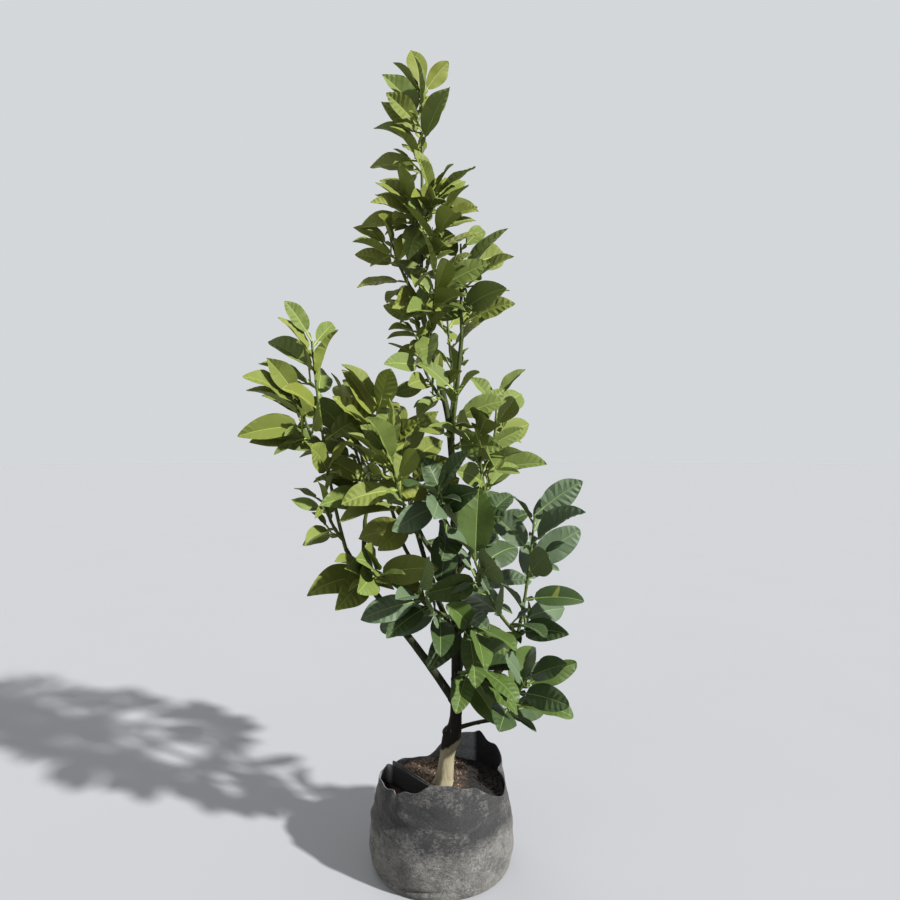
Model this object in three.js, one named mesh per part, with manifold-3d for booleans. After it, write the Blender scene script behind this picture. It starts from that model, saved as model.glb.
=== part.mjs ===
// A young grafted pomelo tree standing in a soft felt grow bag, as it is sold by a nursery.
// Millimetres, +Z up. The origin is the middle of the bag's flat underside, and -Y is the side that is
// seen first. The trunk is cut flat at soil level, each bough is one tapering limb, and each mass of
// foliage is one solid: leafy shoots that grow from one stem by a seeded rule.
import * as THREE from "three";
import { mergeVertices } from "three/addons/utils/BufferGeometryUtils.js";
import Module from "manifold-3d";

const wasm = await Module();
wasm.setup();

// Driving sizes
const CLEARANCE = 0.3;
const DEGREES = Math.PI / 180;
const GOLDEN_ANGLE = 137.508 * DEGREES;
const SOIL_TOP = 124;

// The felt stands nearly straight and is widest near the ground. Its soft rim rises and sags, and leans
// in: the heights and radii go round from the right (+X) by the back and the left to the front.
const BAG = {
  foot: 118, // radius of the flat underside
  belly: 123, // radius at its widest
  bellyHeight: 42,
  rimHeights: [150, 174, 181, 158, 132, 138, 147, 146, 158, 178, 163, 138],
  rimRadii: [107, 112, 113, 114, 111, 107, 104, 104, 103, 104, 107, 116],
  floor: 5,
  wall: 3,
  around: 32,
};

// Where the upper faces of the leaves turn to: the bright side, in front and to the right.
const LIGHT = new THREE.Vector3(0.4, -0.75, 0.5).normalize();

// The trunk's axis from the soil to where its leafy leader begins, and its radius at each height.
const TRUNK = {
  axis: [
    [5, 0, SOIL_TOP + CLEARANCE],
    [13, 0, 190],
    [24, -2, 230],
    [27, -2, 300],
    [26, 3, 447],
    [23, -2, 600],
    [14, 0, 750],
    [-9, 3, 854],
    [-33, -2, 960],
    [-33, 2, 1080],
  ],
  // height above the underside, radius
  taper: [
    [124, 17],
    [140, 14.2],
    [180, 12.6],
    [205, 14.6],
    [222, 13],
    [245, 10.6],
    [343, 9.2],
    [500, 7.6],
    [690, 5.8],
    [900, 4.4],
    [1080, 3],
  ],
};

// Each bough leaves the trunk at a height, or another bough at its tip or at a share of its way along.
const LIMBS = {
  left_bough: { trunk: 268, by: [[-30, -10, 352], [-78, -20, 418], [-130, -30, 492]], root: 7.5, tip: 5 },
  left_outer_limb: { bough: "left_bough", by: [[-144, -38, 514], [-158, -45, 542]], root: 4.4, tip: 3.8 },
  left_inner_limb: { bough: "left_bough", by: [[-131, -22, 530], [-130, -15, 586]], root: 4.4, tip: 3.6 },
  mid_left_bough: { trunk: 378, by: [[-9, -28, 464], [-38, -46, 566]], root: 5.2, tip: 3.8 },
  mid_left_limb: {
    bough: "mid_left_bough",
    at: 0.5,
    by: [[-60, 8, 530], [-84, 30, 588]],
    root: 3.6,
    tip: 3.2,
  },
  right_bough: { trunk: 275, by: [[68, -5, 303], [104, -8, 331], [127, -10, 369]], root: 6.6, tip: 5 },
  right_low_bough: { trunk: 224, by: [[64, -10, 239], [97, -15, 246]], root: 3.6, tip: 3 },
  right_upper_bough: { trunk: 490, by: [[54, -15, 537], [78, -25, 620]], root: 4.6, tip: 3.6 },
  right_leader: { trunk: 724, by: [[28, -5, 820], [36, -8, 906]], root: 4.4, tip: 3.4 },
  back_low_bough: { trunk: 300, by: [[45, 60, 370], [60, 110, 430]], root: 5.4, tip: 4 },
  back_mid_bough: { trunk: 480, by: [[-30, 60, 540], [-60, 110, 600]], root: 4.6, tip: 3.6 },
  back_right_bough: { trunk: 560, by: [[60, 50, 610], [90, 90, 650]], root: 4.2, tip: 3.4 },
  back_upper_bough: { trunk: 700, by: [[18, 45, 765], [25, 80, 830]], root: 4, tip: 3.2 },
};

// Each mass grows from the trunk at a height or from a bough's tip. Its first shoot is its stem, and the
// others branch from that stem at a share of its length. A shoot has its tip, its number of leaves, the
// length of their blades and the compass angle of its lowest leaf, 0 to the right and 90 to the back.
// Where it says so, a share of the shoot is bare below that leaf.
const MASSES = {
  leader_top: {
    trunk: 1080,
    shoots: [
      { tip: [-33, 5, 1330], leaves: 14, blade: 80, aim: 150, bare: 0.5 },
      { from: 0.06, tip: [-12, -34, 1140], leaves: 11, blade: 76, aim: 340 },
      { from: 0.02, tip: [-50, -16, 1120], leaves: 10, blade: 74, aim: 260 },
    ],
  },
  leader_side: { trunk: 1000, shoots: [{ tip: [-2, -45, 1090], leaves: 9, blade: 72, aim: 340 }] },
  leader_front: { trunk: 900, shoots: [{ tip: [-6, -52, 1004], leaves: 10, blade: 78, aim: 300 }] },
  upper_left: { trunk: 962, shoots: [{ tip: [-84, -12, 1062], leaves: 9, blade: 72, aim: 300 }] },
  side_left: { trunk: 880, shoots: [{ tip: [-44, -14, 934], leaves: 8, blade: 56, aim: 220 }] },
  right_top: { bough: "right_leader", shoots: [{ tip: [34, -15, 1060], leaves: 13, blade: 84, aim: 0 }] },
  mid_upper_left: { trunk: 790, shoots: [{ tip: [-34, -36, 862], leaves: 8, blade: 62, aim: 240 }] },
  mid_upper_right: { trunk: 700, shoots: [{ tip: [24, -46, 806], leaves: 7, blade: 70, aim: 0 }] },
  left_outer: {
    bough: "left_outer_limb",
    shoots: [
      { tip: [-212, -60, 886], leaves: 13, blade: 88, aim: 320, bare: 0.42 },
      { from: 0.5, tip: [-228, -84, 788], leaves: 7, blade: 88, aim: 200, bare: 0.35 },
      { from: 0.06, tip: [-192, -62, 622], leaves: 6, blade: 50, aim: 140 },
    ],
  },
  left_inner: {
    bough: "left_inner_limb",
    shoots: [
      { tip: [-106, -35, 782], leaves: 15, blade: 84, aim: 120 },
      { from: 0.35, tip: [-164, 14, 770], leaves: 11, blade: 82, aim: 120 },
    ],
  },
  mid_left_front: {
    bough: "mid_left_bough",
    shoots: [{ tip: [-84, -84, 712], leaves: 13, blade: 88, aim: 120, bare: 0.04 }],
  },
  mid_left_back: {
    bough: "mid_left_limb",
    shoots: [{ tip: [-112, 64, 726], leaves: 10, blade: 84, aim: 120 }],
  },
  lower_left: { bough: "left_bough", shoots: [{ tip: [-100, -92, 508], leaves: 9, blade: 92, aim: 200 }] },
  right_outer: {
    bough: "right_bough",
    shoots: [
      { tip: [162, 0, 594], leaves: 12, blade: 94, aim: 280 },
      { from: 0.12, tip: [52, -84, 540], leaves: 8, blade: 96, aim: 340 },
    ],
  },
  right_low: { bough: "right_low_bough", shoots: [{ tip: [142, -34, 322], leaves: 8, blade: 86, aim: 80 }] },
  right_mid: {
    bough: "right_upper_bough",
    shoots: [{ tip: [60, -30, 760], leaves: 11, blade: 78, aim: 80 }],
  },
  front_mid: { trunk: 560, shoots: [{ tip: [-6, -106, 640], leaves: 10, blade: 94, aim: 40 }] },
  front_low: { trunk: 415, shoots: [{ tip: [-36, -105, 480], leaves: 9, blade: 84, aim: 0 }] },
  front_right: { trunk: 400, shoots: [{ tip: [58, -88, 422], leaves: 6, blade: 86, aim: 60 }] },
  low_centre: { trunk: 322, shoots: [{ tip: [62, -78, 360], leaves: 8, blade: 78, aim: 300 }] },
  back_low: { bough: "back_low_bough", shoots: [{ tip: [82, 150, 566], leaves: 12, blade: 96, aim: 300 }] },
  back_mid: { bough: "back_mid_bough", shoots: [{ tip: [-72, 142, 742], leaves: 12, blade: 88, aim: 40 }] },
  back_right: {
    bough: "back_right_bough",
    shoots: [{ tip: [104, 112, 796], leaves: 9, blade: 84, aim: 300 }],
  },
  back_upper: {
    bough: "back_upper_bough",
    shoots: [{ tip: [10, 104, 964], leaves: 9, blade: 80, aim: 260 }],
  },
};

const SHOOT = { root: 3.3, tip: 1.5, bare: 0.12, sweep: 0.14 };
const LEAF = {
  petiole: 18,
  wing: 5, // half of the stalk's width where its wings are widest
  waist: 1, // half of its thickness there
  sunk: 2, // how far the stalk goes into the shoot, past its axis
  widthShare: 0.6, // of the blade's length
  thickShare: 0.013, // of the leaf's whole length
  fold: 14 * DEGREES,
  lowAngle: 70 * DEGREES, // between a low leaf and its shoot
  topAngle: 34 * DEGREES,
  lowDroop: 34 * DEGREES,
  topDroop: 14 * DEGREES,
  outward: 0.75, // how far a leaf swings towards the open side of the crown, in radians
  turn: 0.9, // share of the way that a blade turns to the light
  turnLimit: 75 * DEGREES,
  clear: 1.6, // room between leaves
};
// Rows of the faceted leaf: how far along the blade, and the share of its full width there.
const BLADE_ROWS = [[0.28, 0.94], [0.68, 0.92]];
// A leaf that meets something is tried again with its compass angle and its rise changed by these.
const OTHER_WAYS = [
  [0, 0], [24, 6], [-24, 6], [44, -10], [-44, -10], [12, 24], [-12, -26], [70, 12], [-70, 12],
];

// A seeded dice: each call gives the next number from 0 to 1.
function dice(seed) {
  let state = seed;
  return () => {
    state = (state * 48271) % 2147483647;
    return state / 2147483647;
  };
}

const vector = (p) => new THREE.Vector3(...p);

const mix = (a, b, share) => a + (b - a) * share;

// Straight lines between the rows of a table of [place, value].
function between(table, place) {
  const last = table.length - 1;
  if (place <= table[0][0]) return table[0][1];
  if (place >= table[last][0]) return table[last][1];
  const next = table.findIndex(([at]) => at > place);
  const [low, high] = [table[next - 1], table[next]];
  return mix(low[1], high[1], (place - low[0]) / (high[0] - low[0]));
}

// A closed triangle mesh with merged vertices as a solid.
function solid(geometry) {
  const bare = geometry.clone();
  bare.deleteAttribute("normal");
  bare.deleteAttribute("uv");
  const merged = mergeVertices(bare, 1e-4);
  return new wasm.Manifold(
    new wasm.Mesh({
      numProp: 3,
      vertProperties: merged.attributes.position.array,
      triVerts: new Uint32Array(merged.index.array),
    }),
  );
}

// A cylinder bent along a curve, with its radius given at each share of the curve.
function bentCylinder(curve, radiusAt, sides, steps) {
  const geometry = new THREE.CylinderGeometry(1, 1, 1, sides, steps);
  const frames = curve.computeFrenetFrames(steps);
  const position = geometry.attributes.position;
  for (let i = 0; i < position.count; i++) {
    const row = Math.round((position.getY(i) + 0.5) * steps);
    const share = row / steps;
    const radius = radiusAt(share);
    const placed = curve
      .getPointAt(share)
      .addScaledVector(frames.normals[row], position.getZ(i) * radius)
      .addScaledVector(frames.binormals[row], position.getX(i) * radius);
    position.setXYZ(i, placed.x, placed.y, placed.z);
  }
  return solid(geometry);
}

const largest = (made) => made.decompose().reduce((a, b) => (b.volume() > a.volume() ? b : a));

// Trunk
const trunkCurve = new THREE.CatmullRomCurve3(TRUNK.axis.map(vector), false, "catmullrom", 0.5);

// The trunk's axis at a height, found by halving because the axis only ever rises.
function trunkAt(height) {
  let [low, high] = [0, 1];
  for (let i = 0; i < 50; i++) {
    const middle = (low + high) / 2;
    if (trunkCurve.getPoint(middle).z < height) low = middle;
    else high = middle;
  }
  return trunkCurve.getPoint(low);
}

function makeTrunk(extra = 0) {
  const radiusAt = (share) => between(TRUNK.taper, trunkCurve.getPointAt(share).z) + extra;
  const made = bentCylinder(trunkCurve, radiusAt, 10, 18);
  // The foot is cut level, however the axis leans there.
  return made.trimByPlane([0, 0, 1], SOIL_TOP + CLEARANCE - extra);
}

// Boughs
const limbCurves = {};
for (const [name, limb] of Object.entries(LIMBS)) {
  const start = limb.bough ? limbCurves[limb.bough].getPoint(limb.at ?? 1) : trunkAt(limb.trunk);
  limbCurves[name] = new THREE.CatmullRomCurve3([start, ...limb.by.map(vector)], false, "catmullrom", 0.5);
}

function makeLimb(name, extra = 0) {
  const { root, tip } = LIMBS[name];
  return bentCylinder(limbCurves[name], (share) => mix(root, tip, share) + extra, 7, 5);
}

// Shoots: a curve that leaves outwards and then turns up, with its leaves along it.
function shootCurve(start, tip) {
  const reach = tip.clone().sub(start);
  const bend = start.clone();
  bend.x += reach.x * (0.5 + SHOOT.sweep);
  bend.y += reach.y * (0.5 + SHOOT.sweep);
  bend.z += reach.z * (0.5 - SHOOT.sweep);
  return new THREE.QuadraticBezierCurve3(start, bend, tip);
}

// The place and lie of a leaf: where it starts, its level heading, its rise, its droop and its roll.
function leafPose(curve, share, heading, rise, blade, roll) {
  const tangent = curve.getTangent(share);
  const level = new THREE.Vector3(Math.cos(heading), Math.sin(heading), 0);
  const outward = level.clone().addScaledVector(tangent, -level.dot(tangent)).normalize();
  const angle = mix(LEAF.lowAngle, LEAF.topAngle, share);
  const along = tangent.multiplyScalar(Math.cos(angle)).addScaledVector(outward, Math.sin(angle));
  const ahead = new THREE.Vector3(along.x, along.y, 0);
  if (ahead.length() < 0.05) ahead.copy(level);
  ahead.normalize();
  const side = new THREE.Vector3(-ahead.y, ahead.x, 0);
  const pitch = Math.asin(along.z) + rise;
  const droop = mix(LEAF.lowDroop, LEAF.topDroop, share);
  const upper = ahead.clone().multiplyScalar(-Math.sin(pitch));
  upper.z += Math.cos(pitch);
  const wanted = Math.atan2(LIGHT.dot(side), LIGHT.dot(upper));
  const turned = THREE.MathUtils.clamp(wanted, -LEAF.turnLimit, LEAF.turnLimit) * LEAF.turn + roll;
  return { start: curve.getPoint(share), ahead, side, pitch, droop, turned, blade };
}

// A point of the leaf: how far along its midrib, how far to the side, and how far above its face.
function leafPoint(pose, along, across, above) {
  const length = LEAF.petiole + pose.blade;
  const curl = pose.droop / length;
  const pitch = pose.pitch - curl * along;
  const forward = (Math.sin(pose.pitch) - Math.sin(pitch)) / curl;
  const upward = (Math.cos(pitch) - Math.cos(pose.pitch)) / curl;
  const face = pose.ahead.clone().multiplyScalar(-Math.sin(pitch));
  face.z += Math.cos(pitch);
  const sideways = pose.side
    .clone()
    .multiplyScalar(Math.cos(pose.turned))
    .addScaledVector(face, -Math.sin(pose.turned));
  face.multiplyScalar(Math.cos(pose.turned)).addScaledVector(pose.side, Math.sin(pose.turned));
  const point = pose.start.clone().addScaledVector(pose.ahead, forward);
  point.z += upward;
  return point
    .addScaledVector(sideways, across * Math.cos(LEAF.fold))
    .addScaledVector(face, Math.abs(across) * Math.sin(LEAF.fold) + above);
}

// The leaf's middle surface as points and triangles, which is what the room test reads.
function leafSheet(pose) {
  const widest = (pose.blade * LEAF.widthShare) / 2;
  const points = [leafPoint(pose, LEAF.petiole, 0, 0)];
  for (const [share, width] of BLADE_ROWS)
    for (const side of [-1, 0, 1])
      points.push(leafPoint(pose, LEAF.petiole + pose.blade * share, side * widest * width, 0));
  points.push(leafPoint(pose, LEAF.petiole + pose.blade, 0, 0));
  const triangles = [
    [0, 1, 2], [0, 2, 3], [1, 4, 2], [2, 4, 5], [2, 5, 3], [3, 5, 6], [4, 7, 5], [5, 7, 6],
  ];
  return { points, triangles };
}

// Whether the line from a to b goes through the triangle p, q, r.
function pierces(a, b, p, q, r) {
  const way = b.clone().sub(a);
  const [first, second] = [q.clone().sub(p), r.clone().sub(p)];
  const across = way.clone().cross(second);
  const spread = first.dot(across);
  if (Math.abs(spread) < 1e-9) return false;
  const offset = a.clone().sub(p);
  const u = offset.dot(across) / spread;
  if (u < 0 || u > 1) return false;
  const turned = offset.cross(first);
  const v = way.dot(turned) / spread;
  if (v < 0 || u + v > 1) return false;
  const t = second.dot(turned) / spread;
  return t >= 0 && t <= 1;
}

const SHEET_EDGES = [
  [0, 1], [1, 4], [4, 7], [7, 6], [6, 3], [3, 0], // around the outline
  [0, 2], [2, 5], [5, 7], // along the midrib
  [1, 2], [2, 3], [4, 5], [5, 6], // across
];

// Whether two sheets pass through each other, or would once the second is moved a little off its face.
function sheetsMeet(one, other) {
  const [root, , , , left, , right] = other.points;
  const face = new THREE.Triangle(root, left, right).getNormal(new THREE.Vector3());
  for (const step of [0, LEAF.clear, -LEAF.clear]) {
    const moved = other.points.map((p) => p.clone().addScaledVector(face, step));
    const cut = (lines, triangles, faces) =>
      SHEET_EDGES.some(([a, b]) =>
        triangles.some(([p, q, r]) => pierces(lines[a], lines[b], faces[p], faces[q], faces[r])),
      );
    if (cut(one.points, other.triangles, moved) || cut(moved, one.triangles, one.points)) return true;
  }
  return false;
}

// Whether a sheet comes too near to a woody piece: a row of points along its axis, with a radius at each.
function meetsWood(sheet, wood) {
  const middles = sheet.triangles.map(([a, b, c]) =>
    sheet.points[a].clone().add(sheet.points[b]).add(sheet.points[c]).divideScalar(3),
  );
  const near = [...sheet.points, ...middles];
  return wood.some(({ a, b, radius }) => {
    const line = new THREE.Line3(a, b);
    const closest = new THREE.Vector3();
    return (
      near.some((p) => line.closestPointToPoint(p, true, closest).distanceTo(p) < radius + LEAF.clear) ||
      sheet.triangles.some(([p, q, r]) => pierces(a, b, sheet.points[p], sheet.points[q], sheet.points[r]))
    );
  });
}

// A curve as short straight stretches with a radius, for the room test.
function stretches(curve, radiusAt, count) {
  return Array.from({ length: count }, (_, i) => ({
    a: curve.getPoint(i / count),
    b: curve.getPoint((i + 1) / count),
    radius: radiusAt((i + 0.5) / count),
  }));
}

const trunkRadius = (share) => between(TRUNK.taper, trunkCurve.getPoint(share).z);
const wood = [...stretches(trunkCurve, trunkRadius, 30)];
for (const [name, curve] of Object.entries(limbCurves))
  wood.push(...stretches(curve, (share) => mix(LIMBS[name].root, LIMBS[name].tip, share), 8));

// All shoots are laid out first, so that every leaf keeps clear of every shoot.
const shootRadius = (share) => mix(SHOOT.root, SHOOT.tip, share);
const shoots = [];
const outwardOf = (point) => Math.atan2(point.y, point.x);
for (const [mass, { trunk, bough, shoots: rows }] of Object.entries(MASSES)) {
  const foot = bough ? limbCurves[bough].getPoint(1) : trunkAt(trunk);
  let stem = null;
  for (const row of rows) {
    const curve = shootCurve(stem ? stem.getPoint(row.from) : foot, vector(row.tip));
    stem ??= curve;
    shoots.push({ mass, row, curve, wood: stretches(curve, shootRadius, 8), leaves: [] });
  }
}

// Leaves climb each shoot by the golden angle, closer together towards the tip. One that meets wood or
// another leaf tries its other ways, and is left out if none is clear.
const placed = [];
for (const [number, shoot] of shoots.entries()) {
  const roll = dice(101 + 37 * number);
  const others = [...wood, ...shoots.filter((s) => s !== shoot).flatMap((s) => s.wood)];
  const { leaves, blade, aim, bare = SHOOT.bare } = shoot.row;
  for (let i = 0; i < leaves; i++) {
    const climb = (i + 0.5 * roll()) / (leaves - 0.5);
    const share = mix(bare, 1, 1 - (1 - climb) ** 1.25);
    const spiral = aim * DEGREES + i * GOLDEN_ANGLE + (roll() - 0.5) * 0.5;
    const heading = spiral + LEAF.outward * Math.sin(outwardOf(shoot.curve.getPoint(1)) - spiral);
    const size = blade * mix(0.84, 1.14, roll()) * (share > 0.93 ? 0.8 : 1);
    const rise = (roll() - 0.5) * 24 * DEGREES;
    const twist = (roll() - 0.5) * 84 * DEGREES;
    for (const [swing, lift] of OTHER_WAYS) {
      const towards = heading + swing * DEGREES;
      const pose = leafPose(shoot.curve, share, towards, rise + lift * DEGREES, size, twist);
      const sheet = leafSheet(pose);
      const ball = new THREE.Sphere().setFromPoints(sheet.points);
      const nearby = placed.filter((leaf) => leaf.ball.intersectsSphere(ball));
      const nearWood = others.filter(({ a, radius }) => ball.distanceToPoint(a) < radius + 60);
      if (nearby.some((leaf) => sheetsMeet(sheet, leaf.sheet)) || meetsWood(sheet, nearWood)) continue;
      const leaf = { pose, sheet, ball };
      placed.push(leaf);
      shoot.leaves.push(leaf);
      break;
    }
  }
}

// The faceted leaf: a stalk with four corners, a blade folded along its midrib, and a pointed tip.
function leafSolid(pose) {
  const length = LEAF.petiole + pose.blade;
  const thick = (length * LEAF.thickShare) / 2;
  const widest = (pose.blade * LEAF.widthShare) / 2;
  const rows = [
    [LEAF.petiole, LEAF.wing, LEAF.waist],
    ...BLADE_ROWS.map(([share, width]) => [LEAF.petiole + pose.blade * share, widest * width, thick]),
  ];
  const points = rows.flatMap(([along, across, above]) => [
    leafPoint(pose, along, -across, 0),
    leafPoint(pose, along, 0, above),
    leafPoint(pose, along, across, 0),
    leafPoint(pose, along, 0, -above),
  ]);
  points.push(leafPoint(pose, length, 0, 0), leafPoint(pose, -LEAF.sunk, 0, 0));
  const [tip, root] = [points.length - 2, points.length - 1];
  const faces = [];
  for (let row = 0; row < rows.length; row++)
    for (let corner = 0; corner < 4; corner++) {
      const [a, b] = [row * 4 + corner, row * 4 + ((corner + 1) % 4)];
      if (row === 0) faces.push([root, a, b]);
      if (row === rows.length - 1) faces.push([a, tip, b]);
      else faces.push([a, a + 4, b], [b, a + 4, b + 4]);
    }
  const geometry = new THREE.BufferGeometry().setFromPoints(points);
  geometry.setIndex(faces.flat());
  return solid(geometry);
}

// Pot and soil
// A value that changes smoothly around the bag, from equally spaced directions.
function aroundBag(values, angle) {
  const place = ((angle / (2 * Math.PI)) * values.length + values.length) % values.length;
  const before = Math.floor(place) % values.length;
  const ease = (1 - Math.cos((place % 1) * Math.PI)) / 2;
  return mix(values[before], values[(before + 1) % values.length], ease);
}

// The wall's outside radius. Soft dents run down the felt, so it is nowhere quite round.
function wallRadius(angle, height) {
  const rise = height / BAG.bellyHeight;
  const rim = aroundBag(BAG.rimHeights, angle);
  const lean = Math.max(0, (height - BAG.bellyHeight) / (rim - BAG.bellyHeight)) ** 1.7;
  const plain =
    rise < 1
      ? mix(BAG.foot, BAG.belly, Math.sin((rise * Math.PI) / 2))
      : mix(BAG.belly, aroundBag(BAG.rimRadii, angle), lean);
  const dents = 1.3 * Math.cos(3 * angle + 0.6) + 1.1 * Math.cos(7 * angle + height / 40);
  return plain + dents * Math.min(1, height / 30);
}

// A closed solid from rows of [radius, height] by angle, with a flat disc at each end.
function ringSolid(rows) {
  const { around } = BAG;
  const points = [new THREE.Vector3(0, 0, rows[0](0)[1])];
  for (const row of rows)
    for (let i = 0; i < around; i++) {
      const angle = (i / around) * 2 * Math.PI;
      const [radius, height] = row(angle);
      points.push(new THREE.Vector3(radius * Math.cos(angle), radius * Math.sin(angle), height));
    }
  points.push(new THREE.Vector3(0, 0, rows.at(-1)(0)[1]));
  const last = points.length - 1;
  const faces = [];
  for (let i = 0; i < around; i++) {
    const next = (i + 1) % around;
    faces.push([0, 1 + next, 1 + i]);
    for (let row = 0; row + 1 < rows.length; row++) {
      const [one, other] = [1 + row * around, 1 + (row + 1) * around];
      // Both sides of a wall are split along the same diagonal, rising or falling.
      const rises = rows[row + 1](0)[1] >= rows[row](0)[1];
      if (rises) faces.push([one + i, one + next, other + next], [one + i, other + next, other + i]);
      else faces.push([one + i, one + next, other + i], [one + next, other + next, other + i]);
    }
    const top = 1 + (rows.length - 1) * around;
    faces.push([last, top + i, top + next]);
  }
  const geometry = new THREE.BufferGeometry().setFromPoints(points);
  geometry.setIndex(faces.flat());
  return solid(geometry);
}

// Up to the soil the wall's rows are level, and soil and felt share them, so the two stay apart.
const LEVELS = [42, 72, 100, SOIL_TOP];

function makeBag() {
  const level = (height, inset) => (angle) => [wallRadius(angle, height) - inset, height];
  const rimward = (share, inset) => (angle) => {
    const height = mix(SOIL_TOP, aroundBag(BAG.rimHeights, angle), share) - (share === 1 ? inset / 6 : 0);
    return [wallRadius(angle, height) - inset, height];
  };
  const outside = [0, 12, ...LEVELS].map((height) => level(height, 0));
  const inside = [...LEVELS].reverse().map((height) => level(height, BAG.wall));
  return ringSolid([
    ...outside,
    rimward(0.5, 0),
    rimward(1, 0),
    rimward(1, BAG.wall),
    rimward(0.5, BAG.wall),
    ...inside,
    level(BAG.floor, BAG.wall),
  ]);
}

// Soil fills the bag up to the trunk's foot, a clearance inside the felt.
function makeSoil() {
  const gap = BAG.wall + CLEARANCE;
  const rows = [BAG.floor + CLEARANCE, ...LEVELS];
  return ringSolid(rows.map((height) => (angle) => [wallRadius(angle, height) - gap, height]));
}

// The model
const potted = new THREE.Group();

const finish = {
  bark: new THREE.MeshStandardMaterial({ color: 0x4a4334, roughness: 0.85 }),
  foliage: new THREE.MeshStandardMaterial({ color: 0x4c6f2b, roughness: 0.42 }),
  felt: new THREE.MeshStandardMaterial({ color: 0x6c6d6f, roughness: 0.95 }),
  soil: new THREE.MeshStandardMaterial({ color: 0x4b3428, roughness: 1 }),
};

function add(name, made, material) {
  const { numProp, vertProperties, triVerts } = made.getMesh();
  const geometry = new THREE.BufferGeometry();
  const corners = new Float32Array((vertProperties.length / numProp) * 3);
  for (let i = 0; i < corners.length / 3; i++)
    corners.set(vertProperties.subarray(i * numProp, i * numProp + 3), i * 3);
  geometry.setAttribute("position", new THREE.BufferAttribute(corners, 3));
  geometry.setIndex(new THREE.BufferAttribute(triVerts, 1));
  geometry.computeVertexNormals();
  const mesh = new THREE.Mesh(geometry, material);
  mesh.name = name;
  potted.add(mesh);
}

add("grow_bag", makeBag(), finish.felt);
add("soil", makeSoil(), finish.soil);
add("trunk", makeTrunk(), finish.bark);

// Each bough is cut a clearance away from the wood that it grows from.
let grown = makeTrunk(CLEARANCE);
for (const name of Object.keys(LIMBS)) {
  add(name, largest(makeLimb(name).subtract(grown)), finish.bark);
  grown = grown.add(makeLimb(name, CLEARANCE));
}

// Each mass is fused from its shoots and leaves. A leaf still too near to another mass is left out.
const stems = {};
for (const mass of Object.keys(MASSES)) {
  const own = shoots.filter((shoot) => shoot.mass === mass);
  const grownStems = own.map((shoot) => bentCylinder(shoot.curve, shootRadius, 3, 4));
  stems[mass] = largest(wasm.Manifold.union(grownStems).subtract(grown));
}
const finished = { ...stems };
for (const mass of Object.keys(MASSES)) {
  const rest = Object.keys(MASSES).filter((other) => other !== mass);
  const neighbours = wasm.Manifold.union(rest.map((other) => finished[other]));
  const leaves = shoots
    .filter((shoot) => shoot.mass === mass)
    .flatMap((shoot) => shoot.leaves.map(({ pose }) => leafSolid(pose)))
    .filter((leaf) => leaf.minGap(neighbours, 1) > CLEARANCE && leaf.minGap(grown, 1) > 0);
  finished[mass] = largest(wasm.Manifold.union([stems[mass], ...leaves]));
  add(`foliage_${mass}`, finished[mass], finish.foliage);
}

export default potted;
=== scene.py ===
"""The looks of a young grafted pomelo tree in a soft felt grow bag.

The layout repeats the part's own rule, in millimetres: trunk, boughs, shoots and leaves grow from the
same named sizes, and small side twigs with young leaves are carried on from them. Every mesh is worked
out in millimetres and turned to metres when its piece is made.
"""
import functools
import math
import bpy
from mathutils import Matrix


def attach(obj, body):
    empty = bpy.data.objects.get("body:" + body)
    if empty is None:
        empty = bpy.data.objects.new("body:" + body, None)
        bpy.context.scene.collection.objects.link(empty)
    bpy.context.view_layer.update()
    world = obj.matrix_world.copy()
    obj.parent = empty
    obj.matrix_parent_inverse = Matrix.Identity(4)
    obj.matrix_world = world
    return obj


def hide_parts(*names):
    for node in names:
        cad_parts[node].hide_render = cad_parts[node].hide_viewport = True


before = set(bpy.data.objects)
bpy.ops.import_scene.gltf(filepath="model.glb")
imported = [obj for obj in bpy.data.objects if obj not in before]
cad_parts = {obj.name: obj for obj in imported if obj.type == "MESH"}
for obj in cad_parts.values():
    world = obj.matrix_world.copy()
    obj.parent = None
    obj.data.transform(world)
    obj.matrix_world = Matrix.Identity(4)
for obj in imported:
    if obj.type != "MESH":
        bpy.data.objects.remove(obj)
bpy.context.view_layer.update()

from types import SimpleNamespace

import bpy
import numpy as np
from bpy.props import FloatProperty, FloatVectorProperty, IntProperty, PointerProperty
from mathutils import Vector

bl_info = {
    "name": "Potted Pomelo Tree",
    "version": (1, 0, 0),
    "blender": (4, 5, 0),
    "location": "View3D > Sidebar > Pomelo",
    "description": "A young grafted pomelo tree in a felt grow bag",
    "category": "Add Mesh",
}

MM = 0.001
GOLDEN_ANGLE = math.radians(137.508)
SOIL_TOP = 124
CLEARANCE = 0.3

# The bag, going round from the right (+X) by the back and the left to the front.
BAG = SimpleNamespace(
    foot=118, belly=123, belly_height=42, floor=5, wall=3,
    rim_heights=[150, 174, 181, 158, 132, 138, 147, 146, 158, 178, 163, 138],
    rim_radii=[107, 112, 113, 114, 111, 107, 104, 104, 103, 104, 107, 116],
)

# The rim's sharper turns: the flap's peak, the sag at the back left, the notch at the front left and the
# high point at the back right with the dip beside it, each as a direction, a width and a rise.
RIM_TURNS = [(2.7, 0.11, 13), (1.74, 0.19, -22), (3.96, 0.14, -6), (0.86, 0.1, 9), (1.14, 0.13, -5)]
# The front's two strongest creases: direction, height, slant, reach, width and depth.
FRONT_CREASES = [(5.0, 117, -0.05, 0.26, 5, 3.2), (5.02, 92, 0.34, 0.24, 3.6, 3)]
# The random creases: how many there are, and the lowest, the commonest and the highest height.
CREASES = SimpleNamespace(count=64, low=30, usual=128, top=165)
# Where the rim is pinched in, as a direction, a width and a depth. In between, on the left, it stands out.
RIM_PINCHES = [(3.8, 0.13, 8), (3.2, 0.3, -3), (0.02, 0.1, 6)]
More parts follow.
